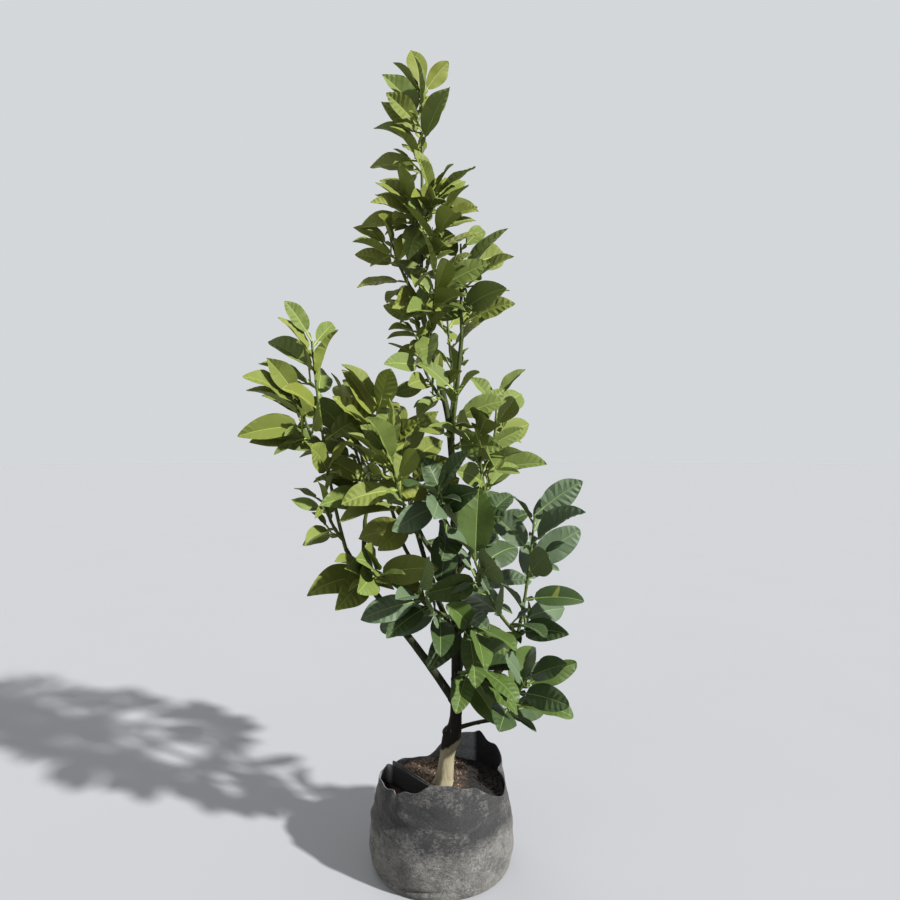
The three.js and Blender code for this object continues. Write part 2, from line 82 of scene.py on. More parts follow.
# Spare felt that is pulled in over the soil at the back left, as a flap: the direction that it starts
# from, how wide it is there, where its tip goes from there, and the height at which it leaves the wall.
FLAP = SimpleNamespace(middle=2.7, width=0.05, reach=(80, -109), foot=112, climb=14)
# The foot is tucked in on the left: the direction, the height, half of the length in radians, and how deep.
TUCK = SimpleNamespace(middle=4.0, height=11, reach=0.9, depth=3.4)
# The soil: how far its top is raised over the solid's, the heap round the trunk and its width, how much
# lower the soil lies beyond the flap, how far and how wide it makes room for the flap, and its crumbs.
SOIL = SimpleNamespace(raised=1.5, heap=5, heap_width=34, hollow=17, room=16, room_width=0.1, crumb=0.9)
# How far out loose bits of coir are strewn.
CHIP_REACH = 112

# Where the upper faces of the leaves turn to: the bright side, in front and to the right.
LIGHT = np.array([0.4, -0.75, 0.5]) / math.hypot(0.4, 0.75, 0.5)

TRUNK_AXIS = [
    (5, 0, SOIL_TOP + CLEARANCE), (13, 0, 190), (24, -2, 230), (27, -2, 300), (26, 3, 447),
    (23, -2, 600), (14, 0, 750), (-9, 3, 854), (-33, -2, 960), (-33, 2, 1080),
]
# The trunk's radius by its height above the underside. It swells at the graft.
TRUNK_TAPER = [
    (124, 17), (140, 14.2), (180, 12.6), (205, 14.6), (222, 13), (245, 10.6), (343, 9.2),
    (500, 7.6), (690, 5.8), (900, 4.4), (1080, 3),
]

# The graft, by heights: the cut stock's shoulder on the left, the ring, and where old leaf scars start.
GRAFT = SimpleNamespace(shoulder=219, ring=212, scars_from=240)

# Each bough: what it grows from, the height there or the share of the way along, its other points, and
# its radius at root and tip.
LIMBS = {
    "left_bough": ("trunk", 268, [(-30, -10, 352), (-78, -20, 418), (-130, -30, 492)], 7.5, 5),
    "left_outer_limb": ("left_bough", 1, [(-144, -38, 514), (-158, -45, 542)], 4.4, 3.8),
    "left_inner_limb": ("left_bough", 1, [(-131, -22, 530), (-130, -15, 586)], 4.4, 3.6),
    "mid_left_bough": ("trunk", 378, [(-9, -28, 464), (-38, -46, 566)], 5.2, 3.8),
    "mid_left_limb": ("mid_left_bough", 0.5, [(-60, 8, 530), (-84, 30, 588)], 3.6, 3.2),
    "right_bough": ("trunk", 275, [(68, -5, 303), (104, -8, 331), (127, -10, 369)], 6.6, 5),
    "right_low_bough": ("trunk", 224, [(64, -10, 239), (97, -15, 246)], 3.6, 3),
    "right_upper_bough": ("trunk", 490, [(54, -15, 537), (78, -25, 620)], 4.6, 3.6),
    "right_leader": ("trunk", 724, [(28, -5, 820), (36, -8, 906)], 4.4, 3.4),
    "back_low_bough": ("trunk", 300, [(45, 60, 370), (60, 110, 430)], 5.4, 4),
    "back_mid_bough": ("trunk", 480, [(-30, 60, 540), (-60, 110, 600)], 4.6, 3.6),
    "back_right_bough": ("trunk", 560, [(60, 50, 610), (90, 90, 650)], 4.2, 3.4),
    "back_upper_bough": ("trunk", 700, [(18, 45, 765), (25, 80, 830)], 4, 3.2),
}

# Each mass: a height on the trunk or the bough whose tip it grows from, then its shoots. The first
# shoot is the stem, and the others leave it at a share of its length. A shoot has that share, its tip,
# its number of leaves, their blades' length, the compass angle of the lowest leaf, and its bare share.
BARE = 0.12
MASSES = {
    "leader_top": (1080, [
        (0, (-33, 5, 1330), 14, 80, 150, 0.5),
        (0.06, (-12, -34, 1140), 11, 76, 340, BARE),
        (0.02, (-50, -16, 1120), 10, 74, 260, BARE),
    ]),
    "leader_side": (1000, [(0, (-2, -45, 1090), 9, 72, 340, BARE)]),
    "leader_front": (900, [(0, (-6, -52, 1004), 10, 78, 300, BARE)]),
    "upper_left": (962, [(0, (-84, -12, 1062), 9, 72, 300, BARE)]),
    "side_left": (880, [(0, (-44, -14, 934), 8, 56, 220, BARE)]),
    "right_top": ("right_leader", [(0, (34, -15, 1060), 13, 84, 0, BARE)]),
    "mid_upper_left": (790, [(0, (-34, -36, 862), 8, 62, 240, BARE)]),
    "mid_upper_right": (700, [(0, (24, -46, 806), 7, 70, 0, BARE)]),
    "left_outer": ("left_outer_limb", [
        (0, (-212, -60, 886), 13, 88, 320, 0.42),
        (0.5, (-228, -84, 788), 7, 88, 200, 0.35),
        (0.06, (-192, -62, 622), 6, 50, 140, BARE),
    ]),
    "left_inner": ("left_inner_limb", [
        (0, (-106, -35, 782), 15, 84, 120, BARE),
        (0.35, (-164, 14, 770), 11, 82, 120, BARE),
    ]),
    "mid_left_front": ("mid_left_bough", [(0, (-84, -84, 712), 13, 88, 120, 0.04)]),
    "mid_left_back": ("mid_left_limb", [(0, (-112, 64, 726), 10, 84, 120, BARE)]),
    "lower_left": ("left_bough", [(0, (-100, -92, 508), 9, 92, 200, BARE)]),
    "right_outer": ("right_bough", [
        (0, (162, 0, 594), 12, 94, 280, BARE),
        (0.12, (52, -84, 540), 8, 96, 340, BARE),
    ]),
    "right_low": ("right_low_bough", [(0, (142, -34, 322), 8, 86, 80, BARE)]),
    "right_mid": ("right_upper_bough", [(0, (60, -30, 760), 11, 78, 80, BARE)]),
    "front_mid": (560, [(0, (-6, -106, 640), 10, 94, 40, BARE)]),
    "front_low": (415, [(0, (-36, -105, 480), 9, 84, 0, BARE)]),
    "front_right": (400, [(0, (58, -88, 422), 6, 86, 60, BARE)]),
    "low_centre": (322, [(0, (62, -78, 360), 8, 78, 300, BARE)]),
    "back_low": ("back_low_bough", [(0, (82, 150, 566), 12, 96, 300, BARE)]),
    "back_mid": ("back_mid_bough", [(0, (-72, 142, 742), 12, 88, 40, BARE)]),
    "back_right": ("back_right_bough", [(0, (104, 112, 796), 9, 84, 300, BARE)]),
    "back_upper": ("back_upper_bough", [(0, (10, 104, 964), 9, 80, 260, BARE)]),
}

# The pieces that leaves and shoots are joined into: the masses of each, and the age of their leaves,
# from the young growth at the top to the old leaves low on the tree.
SPRAYS = {
    "leader": {
        "leader_top": "young", "leader_side": "young", "leader_front": "grown", "upper_left": "young",
        "side_left": "young",
    },
    "right_upper": {
        "right_top": "grown", "right_mid": "grown", "mid_upper_left": "grown", "mid_upper_right": "grown",
    },
    "left": {"left_outer": "young", "left_inner": "young", "lower_left": "grown"},
    "middle": {"mid_left_front": "young", "mid_left_back": "grown", "front_mid": "old", "front_low": "old"},
    "right_lower": {"right_outer": "old", "right_low": "old", "front_right": "old", "low_centre": "old"},
    "back": {"back_low": "old", "back_mid": "grown", "back_right": "grown", "back_upper": "young"},
}

# A shoot's radius at its root and its tip, and how far it is bowed.
SHOOT = SimpleNamespace(root=3.3, tip=1.5, sweep=0.14)
# How a leaf is laid: its stalk's length, how deep it is sunk in the shoot, its blade's width as a share of
# its length, its angle from the shoot and its droop low and at the top, how strongly it heads outward and
# turns to the light, its fold, and how far it keeps clear of others.
LEAF = SimpleNamespace(
    petiole=18, sunk=2, width_share=0.6, low_angle=math.radians(70), top_angle=math.radians(34),
    low_droop=math.radians(34), top_droop=math.radians(14), outward=0.75, turn=0.9,
    turn_limit=math.radians(75), fold=math.radians(14), clear=1.6,
)
# How the leaves of a shoot differ: how much closer they stand towards its tip, their smallest and largest
# size as shares of the usual blade, from where the end leaves start and their size, and how far the rise
# and the roll of one leaf can be from those of another.
VARIETY = SimpleNamespace(
    crowding=1.25, small=0.84, large=1.14, end=0.93, end_size=0.8, rise=math.radians(24),
    roll=math.radians(84),
)
# Side twigs: the share of leaves that have one, its shortest and longest length, its radius at both ends,
# where on a shoot they end, how near their root wood doesn't count, and their leaves' shortest and longest
# blade.
TWIG = SimpleNamespace(
    share=0.26, short=14, long=30, radii=(1.3, 0.8), last=0.9, root=14, small=26, large=44
)
# The bud in a leaf's axil: its radius, and how high it reaches.
BUD = SimpleNamespace(radius=1.15, height=4.2)
# How far from a leaf the room test looks for wood, past the wood's own radius.
WOOD_REACH = 60
# A leaf that meets something is tried again with its compass angle and its rise changed by these.
OTHER_WAYS = [(0, 0), (24, 6), (-24, 6), (44, -10), (-44, -10), (12, 24), (-12, -26), (70, 12), (-70, 12)]


def linear(code):
    """A hex colour as linear light: each channel is raised by the sRGB curve."""
    channels = [int(code[i : i + 2], 16) / 255 for i in (1, 3, 5)]
    return [c / 12.92 if c <= 0.04045 else ((c + 0.055) / 1.055) ** 2.4 for c in channels]


def mix(a, b, share):
    """The value that lies a share of the way from one to the other."""
    return a + (b - a) * share


def unit(v):
    """Vectors scaled to length one along the last axis."""
    return v / np.linalg.norm(v, axis=-1, keepdims=True)


def dice(seed):
    """A seeded dice: each call gives a number from 0 to 1, the last state times 48271, modulo a prime."""
    state = seed

    def roll():
        nonlocal state
        state = state * 48271 % 2147483647
        return state / 2147483647

    return roll


# Curves


def through(points):
    """A curve through points. Between two of them each coordinate is a cubic in the share of the way,
    and its slope at a point is half the step from the point before to the point after."""
    p = np.array(points, float)
    p = np.vstack([2 * p[0] - p[1], p, 2 * p[-1] - p[-2]])
    spans = len(points) - 1

    def at(share):
        place = np.asarray(share, float) * spans
        i = np.clip(np.floor(place).astype(int), 0, spans - 1)
        w = (place - i)[..., None]
        before, start, end, after = p[i], p[i + 1], p[i + 2], p[i + 3]
        leaving, arriving = (end - before) / 2, (after - start) / 2
        square = 3 * (end - start) - 2 * leaving - arriving
        cube = 2 * (start - end) + leaving + arriving
        return start + leaving * w + square * w**2 + cube * w**3

    return at


def bowed(start, tip):
    """A shoot's curve: it leaves outwards and then turns up, as a quadratic Bezier curve whose middle
    handle lies past half of the reach on the level and short of half of it in height."""
    start, tip = np.array(start, float), np.array(tip, float)
    share = 0.5 + SHOOT.sweep * np.array([1, 1, -1])
    bend = start + (tip - start) * share

    def at(place):
        t = np.asarray(place, float)[..., None]
        return (1 - t) ** 2 * start + 2 * (1 - t) * t * bend + t**2 * tip

    return at


def tangent_of(curve, share):
    """The direction of a curve, from two points a ten-thousandth to each side."""
    low, high = np.clip(share - 1e-4, 0, 1), np.clip(share + 1e-4, 0, 1)
    return unit(curve(high) - curve(low))


def evenly(curve, count):
    """Shares of a curve that are equally far apart along it, from its length at 400 steps, and how far
    along it they are."""
    steps = np.linspace(0, 1, 401)
    lengths = np.linalg.norm(np.diff(curve(steps), axis=0), axis=1)
    run = np.concatenate([[0], np.cumsum(lengths)])
    even = np.linspace(0, run[-1], count)
    return np.interp(even, run, steps), even


TRUNK = through(TRUNK_AXIS)


def trunk_radius(height):
    """The trunk's radius, in straight steps between the heights of its taper."""
    heights, radii = zip(*TRUNK_TAPER)
    return np.interp(height, heights, radii)


def trunk_at(height):
    """The trunk's axis at a height, found by halving because the axis only ever rises."""
    low, high = 0.0, 1.0
    for _ in range(50):
        middle = (low + high) / 2
        low, high = (middle, high) if TRUNK(middle)[2] < height else (low, middle)
    return TRUNK(low)


# Layout: the rule by which shoots and leaves grow


def leaf_pose(curve, share, heading, rise, blade, roll):
    """How a leaf lies. It leaves the shoot at an angle that narrows towards the tip, on its compass
    heading, and its blade rolls part of the way from level to facing the light."""
    tangent = tangent_of(curve, share)
    level = np.array([math.cos(heading), math.sin(heading), 0])
    outward = unit(level - tangent * (level @ tangent))
    angle = mix(LEAF.low_angle, LEAF.top_angle, share)
    along = tangent * math.cos(angle) + outward * math.sin(angle)
    ahead = np.array([along[0], along[1], 0])
    if np.linalg.norm(ahead) < 0.05:
        ahead = level
    ahead = unit(ahead)
    side = np.array([-ahead[1], ahead[0], 0])
    pitch = math.asin(np.clip(along[2], -1, 1)) + rise
    upper = ahead * -math.sin(pitch) + np.array([0, 0, math.cos(pitch)])
    wanted = math.atan2(LIGHT @ side, LIGHT @ upper)
    turned = max(-LEAF.turn_limit, min(LEAF.turn_limit, wanted)) * LEAF.turn + roll
    droop = mix(LEAF.low_droop, LEAF.top_droop, share)
    return SimpleNamespace(
        start=curve(share), ahead=ahead, side=side, pitch=pitch, droop=droop, turned=turned, blade=blade
    )


def leaf_points(pose, along, across, above, fold, twist=0.0):
    """Points of leaves. The midrib is part of a circle that starts at the pitch and bends down by the
    droop over the leaf's length. Across it the blade rolls by its turn and folds up on both sides.
    The pose's values and fold are for one leaf or for many, and the rest are grids of millimetres."""

    def spread(value):
        value = np.asarray(value, float)
        return value[..., None] if value.ndim else value

    length = LEAF.petiole + spread(pose.blade)
    curl = spread(pose.droop) / length
    first = spread(pose.pitch)
    pitch = first - curl * along
    forward = (np.sin(first) - np.sin(pitch)) / curl
    upward = (np.cos(pitch) - np.cos(first)) / curl
    start, ahead, side = (v[..., None, :] for v in (pose.start, pose.ahead, pose.side))
    up = np.array([0, 0, 1.0])
    face = -ahead * np.sin(pitch)[..., None] + up * np.cos(pitch)[..., None]
    turned = (spread(pose.turned) + twist + 0 * pitch)[..., None]
    sideways = side * np.cos(turned) - face * np.sin(turned)
    face = face * np.cos(turned) + side * np.sin(turned)
    lift = np.abs(across) * np.sin(spread(fold)) + above
    point = start + ahead * forward[..., None] + up * upward[..., None]
    return point + sideways * (across * np.cos(spread(fold)))[..., None] + face * lift[..., None]


# The room test reads a leaf's middle surface as eight points, joined by faces and edges.
SHEET_ALONG = np.array([0, 0.28, 0.28, 0.28, 0.68, 0.68, 0.68, 1])
SHEET_ACROSS = np.array([0, -0.94, 0, 0.94, -0.92, 0, 0.92, 0])
SHEET_FACES = np.array(
    [[0, 1, 2], [0, 2, 3], [1, 4, 2], [2, 4, 5], [2, 5, 3], [3, 5, 6], [4, 7, 5], [5, 7, 6]]
)
SHEET_EDGES = np.array(
    [[0, 1], [1, 4], [4, 7], [7, 6], [6, 3], [3, 0], [0, 2], [2, 5], [5, 7], [1, 2], [2, 3], [4, 5], [5, 6]]
)


def leaf_sheet(pose):
    """A leaf's middle surface as the room test reads it."""
    widest = pose.blade * LEAF.width_share / 2
    along = LEAF.petiole + pose.blade * SHEET_ALONG
    return leaf_points(pose, along, SHEET_ACROSS * widest, np.zeros(8), LEAF.fold)


def pierces(a, b, p, q, r):
    """Whether the line from a to b goes through the triangle p, q, r, for arrays of both: the crossing's
    place on the line and its two places in the triangle all lie from 0 to 1."""
    way, first, second = b - a, q - p, r - p
    across = np.cross(way, second)
    spread = np.sum(first * across, -1)
    flat = np.abs(spread) < 1e-9
    spread = np.where(flat, 1, spread)
    offset = a - p
    u = np.sum(offset * across, -1) / spread
    turned = np.cross(offset, first)
    v = np.sum(way * turned, -1) / spread
    t = np.sum(second * turned, -1) / spread
    return ~flat & (u >= 0) & (u <= 1) & (v >= 0) & (u + v <= 1) & (t >= 0) & (t <= 1)


def sheets_meet(one, others):
    """Whether a sheet passes through any of the others, or would once they are moved a little off
    their faces."""
    if not len(others):
        return False
    face = unit(np.cross(others[:, 4] - others[:, 0], others[:, 6] - others[:, 0]))
    steps = np.array([0, LEAF.clear, -LEAF.clear])
    moved = others[:, None] + face[:, None, None] * steps[None, :, None, None]

    def cut(lines, faces):
        a, b = lines[..., SHEET_EDGES[:, 0], :], lines[..., SHEET_EDGES[:, 1], :]
        p, q, r = (faces[..., SHEET_FACES[:, k], :] for k in range(3))
        a, b = a[..., :, None, :], b[..., :, None, :]
        p, q, r = (v[..., None, :, :] for v in (p, q, r))
        return pierces(a, b, p, q, r).any()

    return cut(one[None, None], moved) or cut(moved, one[None, None])


def meets_wood(sheet, wood):
    """Whether a sheet comes too near to woody stretches, each a line with a radius."""
    if not len(wood):
        return False
    a, b, radius = wood[:, :3], wood[:, 3:6], wood[:, 6]
    near = np.vstack([sheet, sheet[SHEET_FACES].mean(1)])[:, None]
    way = b - a
    place = np.clip(np.sum((near - a) * way, -1) / np.sum(way * way, -1), 0, 1)
    distance = np.linalg.norm(near - (a + way * place[..., None]), axis=-1)
    if (distance < radius + LEAF.clear).any():
        return True
    p, q, r = (sheet[SHEET_FACES[:, k]][:, None] for k in range(3))
    return bool(pierces(a, b, p, q, r).any())


def stretches(curve, radius_at, count):
    """A curve as rows of seven numbers: a short line's two ends, and its radius."""
    shares = np.arange(count + 1) / count
    points = curve(shares)
    return np.column_stack([points[:-1], points[1:], radius_at(shares[:-1] + 0.5 / count)])


def ball_of(sheet):
    """A ball round a sheet: the middle of its box, and the distance to its furthest point."""
    middle = (sheet.min(0) + sheet.max(0)) / 2
    return middle, np.linalg.norm(sheet - middle, axis=1).max()


class Crown:
    """The leaves that are placed so far, and the wood that a new one has to keep clear of."""

    def __init__(self):
        self.sheets, self.middles, self.radii = [], [], []

    def has_room(self, sheet, wood):
        """Whether a sheet keeps clear of the leaves so far and of the wood near it."""
        middle, radius = ball_of(sheet)
        if self.sheets:
            apart = np.linalg.norm(np.array(self.middles) - middle, axis=1)
            near = np.nonzero(apart <= np.array(self.radii) + radius)[0]
            if sheets_meet(sheet, np.array([self.sheets[i] for i in near])):
                return False
        near = np.linalg.norm(wood[:, :3] - middle, axis=1) - radius < wood[:, 6] + WOOD_REACH
        return not meets_wood(sheet, wood[near])

    def add(self, sheet):
        middle, radius = ball_of(sheet)
        self.sheets.append(sheet)
        self.middles.append(middle)
        self.radii.append(radius)


def try_leaf(crown, curve, share, heading, rise, size, twist, wood, inside=None):
    """Places a leaf in the first of its ways that has room, or returns None."""
    for swing, lift in OTHER_WAYS:
        towards = heading + math.radians(swing)
        pose = leaf_pose(curve, share, towards, rise + math.radians(lift), size, twist)
        sheet = leaf_sheet(pose)
        if inside is not None and ((sheet < inside[0]) | (sheet > inside[1])).any():
            continue
        if crown.has_room(sheet, wood):
            crown.add(sheet)
            return pose
    return None


@functools.cache
def plant():
    """The whole layout: the boughs' curves, and each shoot with its leaves and its side twigs."""
    limbs = {}
    for name, (parent, place, points, root, tip) in LIMBS.items():
        start = trunk_at(place) if parent == "trunk" else limbs[parent].curve(place)
        curve = through([start, *points])
        limbs[name] = SimpleNamespace(name=name, curve=curve, root=root, tip=tip)
    wood = [stretches(TRUNK, lambda share: trunk_radius(TRUNK(share)[:, 2]), 30)]
    for limb in limbs.values():
        wood.append(stretches(limb.curve, lambda share, l=limb: mix(l.root, l.tip, share), 8))
    wood = np.vstack(wood)

    shoots = []
    for mass, (foot, rows) in MASSES.items():
        start = limbs[foot].curve(1) if isinstance(foot, str) else trunk_at(foot)
        stem = None
        for place, tip, leaves, blade, aim, bare in rows:
            curve = bowed(stem(place) if stem else start, tip)
            stem = stem or curve
            lines = stretches(curve, lambda share: mix(SHOOT.root, SHOOT.tip, share), 8)
            shoots.append(
                SimpleNamespace(
                    mass=mass, curve=curve, tip=tip, wood=lines, count=leaves, blade=blade, aim=aim,
                    bare=bare, leaves=[], shares=[], twigs=[],
                )
            )

    # Leaves climb each shoot by the golden angle, closer together towards the tip.
    crown = Crown()
    for number, shoot in enumerate(shoots):
        roll = dice(101 + 37 * number)
        others = np.vstack([wood, *(s.wood for s in shoots if s is not shoot)])
        outward = math.atan2(shoot.tip[1], shoot.tip[0])
        for i in range(shoot.count):
            climb = (i + 0.5 * roll()) / (shoot.count - 0.5)
            share = mix(shoot.bare, 1, 1 - (1 - climb) ** VARIETY.crowding)
            spiral = math.radians(shoot.aim) + i * GOLDEN_ANGLE + (roll() - 0.5) * 0.5
            heading = spiral + LEAF.outward * math.sin(outward - spiral)
            size = shoot.blade * mix(VARIETY.small, VARIETY.large, roll())
            size = size * (VARIETY.end_size if share > VARIETY.end else 1)
            rise = (roll() - 0.5) * VARIETY.rise
            twist = (roll() - 0.5) * VARIETY.roll
            pose = try_leaf(crown, shoot.curve, share, heading, rise, size, twist, others)
            if pose:
                shoot.leaves.append(pose)
                shoot.shares.append(share)

    # Side twigs grow from the axils of some leaves, and their young leaves stay in their mass's space.
    spaces = {}
    for mass in MASSES:
        points = np.vstack([leaf_sheet(p) for s in shoots if s.mass == mass for p in s.leaves])
        spaces[mass] = points.min(0), points.max(0)
    everything = np.vstack([wood, *(s.wood for s in shoots)])
    for number, shoot in enumerate(shoots):
        roll = dice(7001 + 53 * number)
        for pose, share in zip(list(shoot.leaves), list(shoot.shares)):
            wanted, length = roll() < TWIG.share, mix(TWIG.short, TWIG.long, roll())
            swing, count = roll() - 0.5, 2 if roll() < 0.5 else 3
            if not wanted or share > TWIG.last:
                continue
            heading = math.atan2(pose.ahead[1], pose.ahead[0]) + swing
            climb = tangent_of(shoot.curve, share) * 0.8
            away = np.array([math.cos(heading), math.sin(heading), 0]) * 0.6
            start = shoot.curve(share)
            curve = bowed(start, start + (climb + away) * length)
            young = []
            for i in range(count):
                size = mix(TWIG.small, TWIG.large, roll())
                turn = heading + i * GOLDEN_ANGLE + (roll() - 0.5)
                place, rise, twist = mix(0.45, 1, i / 2), (roll() - 0.3) * 0.5, (roll() - 0.5) * 1.2
                far = np.linalg.norm(everything[:, :3] - start, axis=1) > TWIG.root
                leaf = try_leaf(
                    crown, curve, place, turn, rise, size, twist, everything[far], spaces[shoot.mass]
                )
                if leaf:
                    young.append(leaf)
            if young:
                shoot.twigs.append(SimpleNamespace(curve=curve, leaves=young))
    return SimpleNamespace(limbs=limbs, shoots=shoots)


# Meshes


def rings(rows, sides):
    """The faces of a closed skin of rings, each of so many points, with a pole before the first ring and
    one after the last: triangles to the poles, and quads between the rings. Point 0 is the first pole
    and the last point is the other."""
    ring = np.arange(sides)
    after = (ring + 1) % sides
    starts = 1 + np.arange(rows - 1)[:, None] * sides
    quads = np.stack([starts + ring, starts + after, starts + sides + after, starts + sides + ring], -1)
    last = 1 + (rows - 1) * sides
    foot = np.stack([np.zeros(sides, int), 1 + after, 1 + ring], -1)
    top = np.stack([np.full(sides, last + sides), last + ring, last + after], -1)
    return [quads.reshape(-1, 4), np.vstack([foot, top])]


def skin(grid, foot, top):
    """Points of a skin in the order that rings() counts them."""
    return np.vstack([[foot], grid.reshape(-1, 3), [top]])


def joined(parts):
    """Several (points, faces) as one, with the point numbers of each moved past those before it."""
    points, faces, count = [], [], 0
    for made, rows in parts:
        faces += [f + count for f in rows]
        points.append(made)
        count += len(made)
    return np.vstack(points), faces


def tube(curve, radius_at, sides, rows, relief=None):
    """A limb: circles square to its axis at equal steps, their radius from the share of the length, and
    its surface moved out by a relief in millimetres that depends on the angle and the place."""
    shares, run = evenly(curve, rows)
    axis, tangent = curve(shares), tangent_of(curve, shares)
    steady = np.eye(3)[np.argmin(np.abs(tangent).mean(0))]
    across = unit(np.cross(tangent, steady))
    other = np.cross(tangent, across)
    angle = np.linspace(0, 2 * np.pi, sides, endpoint=False)
    radius = radius_at(run / run[-1], axis)[:, None] + 0 * angle
    if relief:
        radius = radius + relief(angle[None], run[:, None], axis)
    ring = across[:, None] * np.cos(angle)[:, None] + other[:, None] * np.sin(angle)[:, None]
    grid = axis[:, None] + ring * radius[..., None]
    return skin(grid, axis[0], axis[-1] + tangent[-1] * radius[-1].mean() * 0.4), rings(rows, sides)


def waves(seed, turns, length, count):
    """A relief that closes round a limb: a sum of waves, each with a whole number of turns round it, a
    share of waves along it, a phase and a falling strength. It runs from about -1 to 1."""
    chance = np.random.default_rng(seed)
    around = chance.integers(1, turns + 1, count)
    along = chance.uniform(-1, 1, count) * 2 * np.pi / length
    phase = chance.uniform(0, 2 * np.pi, count)
    strength = 1 / np.sqrt(1 + np.arange(count))

    def at(angle, run):
        total = 0
        for k in range(count):
            total = total + strength[k] * np.sin(around[k] * angle + along[k] * run + phase[k])
        return total / strength.sum() * 1.8

    return at


def make_piece(name, points, faces, finishes, slot, stands_for=(), which=None, sharp=60):
    """A mesh from points in millimetres, with smooth shading except at its sharp edges."""
    rows = [row for block in faces for row in block.tolist()]
    mesh = bpy.data.meshes.new(name)
    mesh.from_pydata((points * MM).tolist(), [], rows)
    for finish in finishes:
        mesh.materials.append(finish)
    if which is not None:
        mesh.polygons.foreach_set("material_index", which)
    mesh.shade_smooth()
    mesh.set_sharp_from_angle(angle=math.radians(sharp))
    if mesh.validate():
        raise RuntimeError(f"{name} had broken faces")
    made = bpy.data.objects.new(name, mesh)
    bpy.context.scene.collection.objects.link(made)
    if slot:
        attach(made, "root")
    if stands_for:
        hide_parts(*stands_for)
    return made


# Leaves


class LeafGrid:
    """The leaf as rings across it, over the top from the left margin to the right one and back below.
    Each point has its side, its share of the way from the rib to the margin, and whether it is on top.
    The stalk's rings are given as shares of the stalk, and the blade's are evenly spaced. Leaves of a
    grid can be narrower than others, and cupped by a further angle."""

    def __init__(self, stalk, blade, steps, narrow=1.0, cupped=0.0):
        self.narrow, self.cupped = narrow, cupped
        share = np.array(steps)
        top_share = np.concatenate([share, [0], share[::-1]])
        top_side = np.concatenate([np.ones(len(share)), [0], -np.ones(len(share))])
        self.share = np.concatenate([top_share, top_share[-2:0:-1]])
        self.side = np.concatenate([top_side, top_side[-2:0:-1]])
        self.top = np.where(np.arange(len(self.side)) < len(top_side), 1.0, -1.0)
        self.stalk = np.array([row[0] for row in stalk])
        self.stalk_width = np.array([row[1] for row in stalk])
        self.blade = (np.arange(blade) + 0.5) / (blade + 0.2)
        # Quads are split from the outer point to the next ring's inner one, on top and below alike, so
        # the two sides of a thin blade never cross.
        quads, fans = rings(len(stalk) + blade, len(self.side))
        reach = self.share + np.abs(self.side)
        inward = np.tile(reach > np.roll(reach, -1), len(quads) // len(reach))[:, None]
        first = np.where(inward, quads[:, [0, 1, 2]], quads[:, [0, 1, 3]])
        second = np.where(inward, quads[:, [0, 2, 3]], quads[:, [1, 2, 3]])
        self.faces = [first, second, fans]
        # A strip of faces between two points of the ring is 0 above or 1 below, and 2 or 3 on the rib.
        above = np.arange(len(self.side)) < len(top_side) - 1
        on_rib = (self.share == 0) & (np.roll(self.share, -1) == 0)
        self.strip = np.where(on_rib, 2, 0) + np.where(above, 0, 1)


# A blade's usual length, which its relief is scaled from, and half of a stalk's thickness and width
# where it has no wings.
USUAL_BLADE, STALK_RADIUS, STALK_EDGE = 85, 1.1, 1.5
# The stalk's rings: the share of its length, and the share of its wings' full width.
STALK = [(-0.1, 0), (0.14, 0), (0.44, 0.72), (0.76, 1), (0.97, 0)]
BIG_LEAF = LeafGrid(STALK, 16, [1, 0.6, 0])
YOUNG_LEAF = LeafGrid([(-0.1, 0), (0.6, 0.5), (0.97, 0)], 7, [1, 0.5, 0], narrow=0.76, cupped=0.22)

# How blades differ with age: what is added to the power that shapes the tip, the swelling between the
# veins as a share of the full one, and how much further the halves fold up, in radians.
FRESH_BLADE = SimpleNamespace(tip=0.12, swell=1.0, fold=0.16)
OLD_BLADE = SimpleNamespace(tip=-0.14, swell=0.95, fold=0.0)
# How single leaves differ, each as the lowest and the highest value: where the outline is widest and how
# blunt it is, its width, the swelling between its veins, how far its margins bend down, how many waves
# they have and how high, how far the tip curls down, the stalk's wings, and the twist in radians.
RANGES = SimpleNamespace(
    place=(0.78, 0.98), power=(0.6, 0.98), width=(0.9, 1.08), swell=(0.7, 1.3), bend=(0.02, 0.2),
    waves=(1.6, 2.6), wave_height=(0.4, 1.4), curl=(0, 0.1), wing=(0.7, 1.1), twist=(-0.35, 0.35),
)


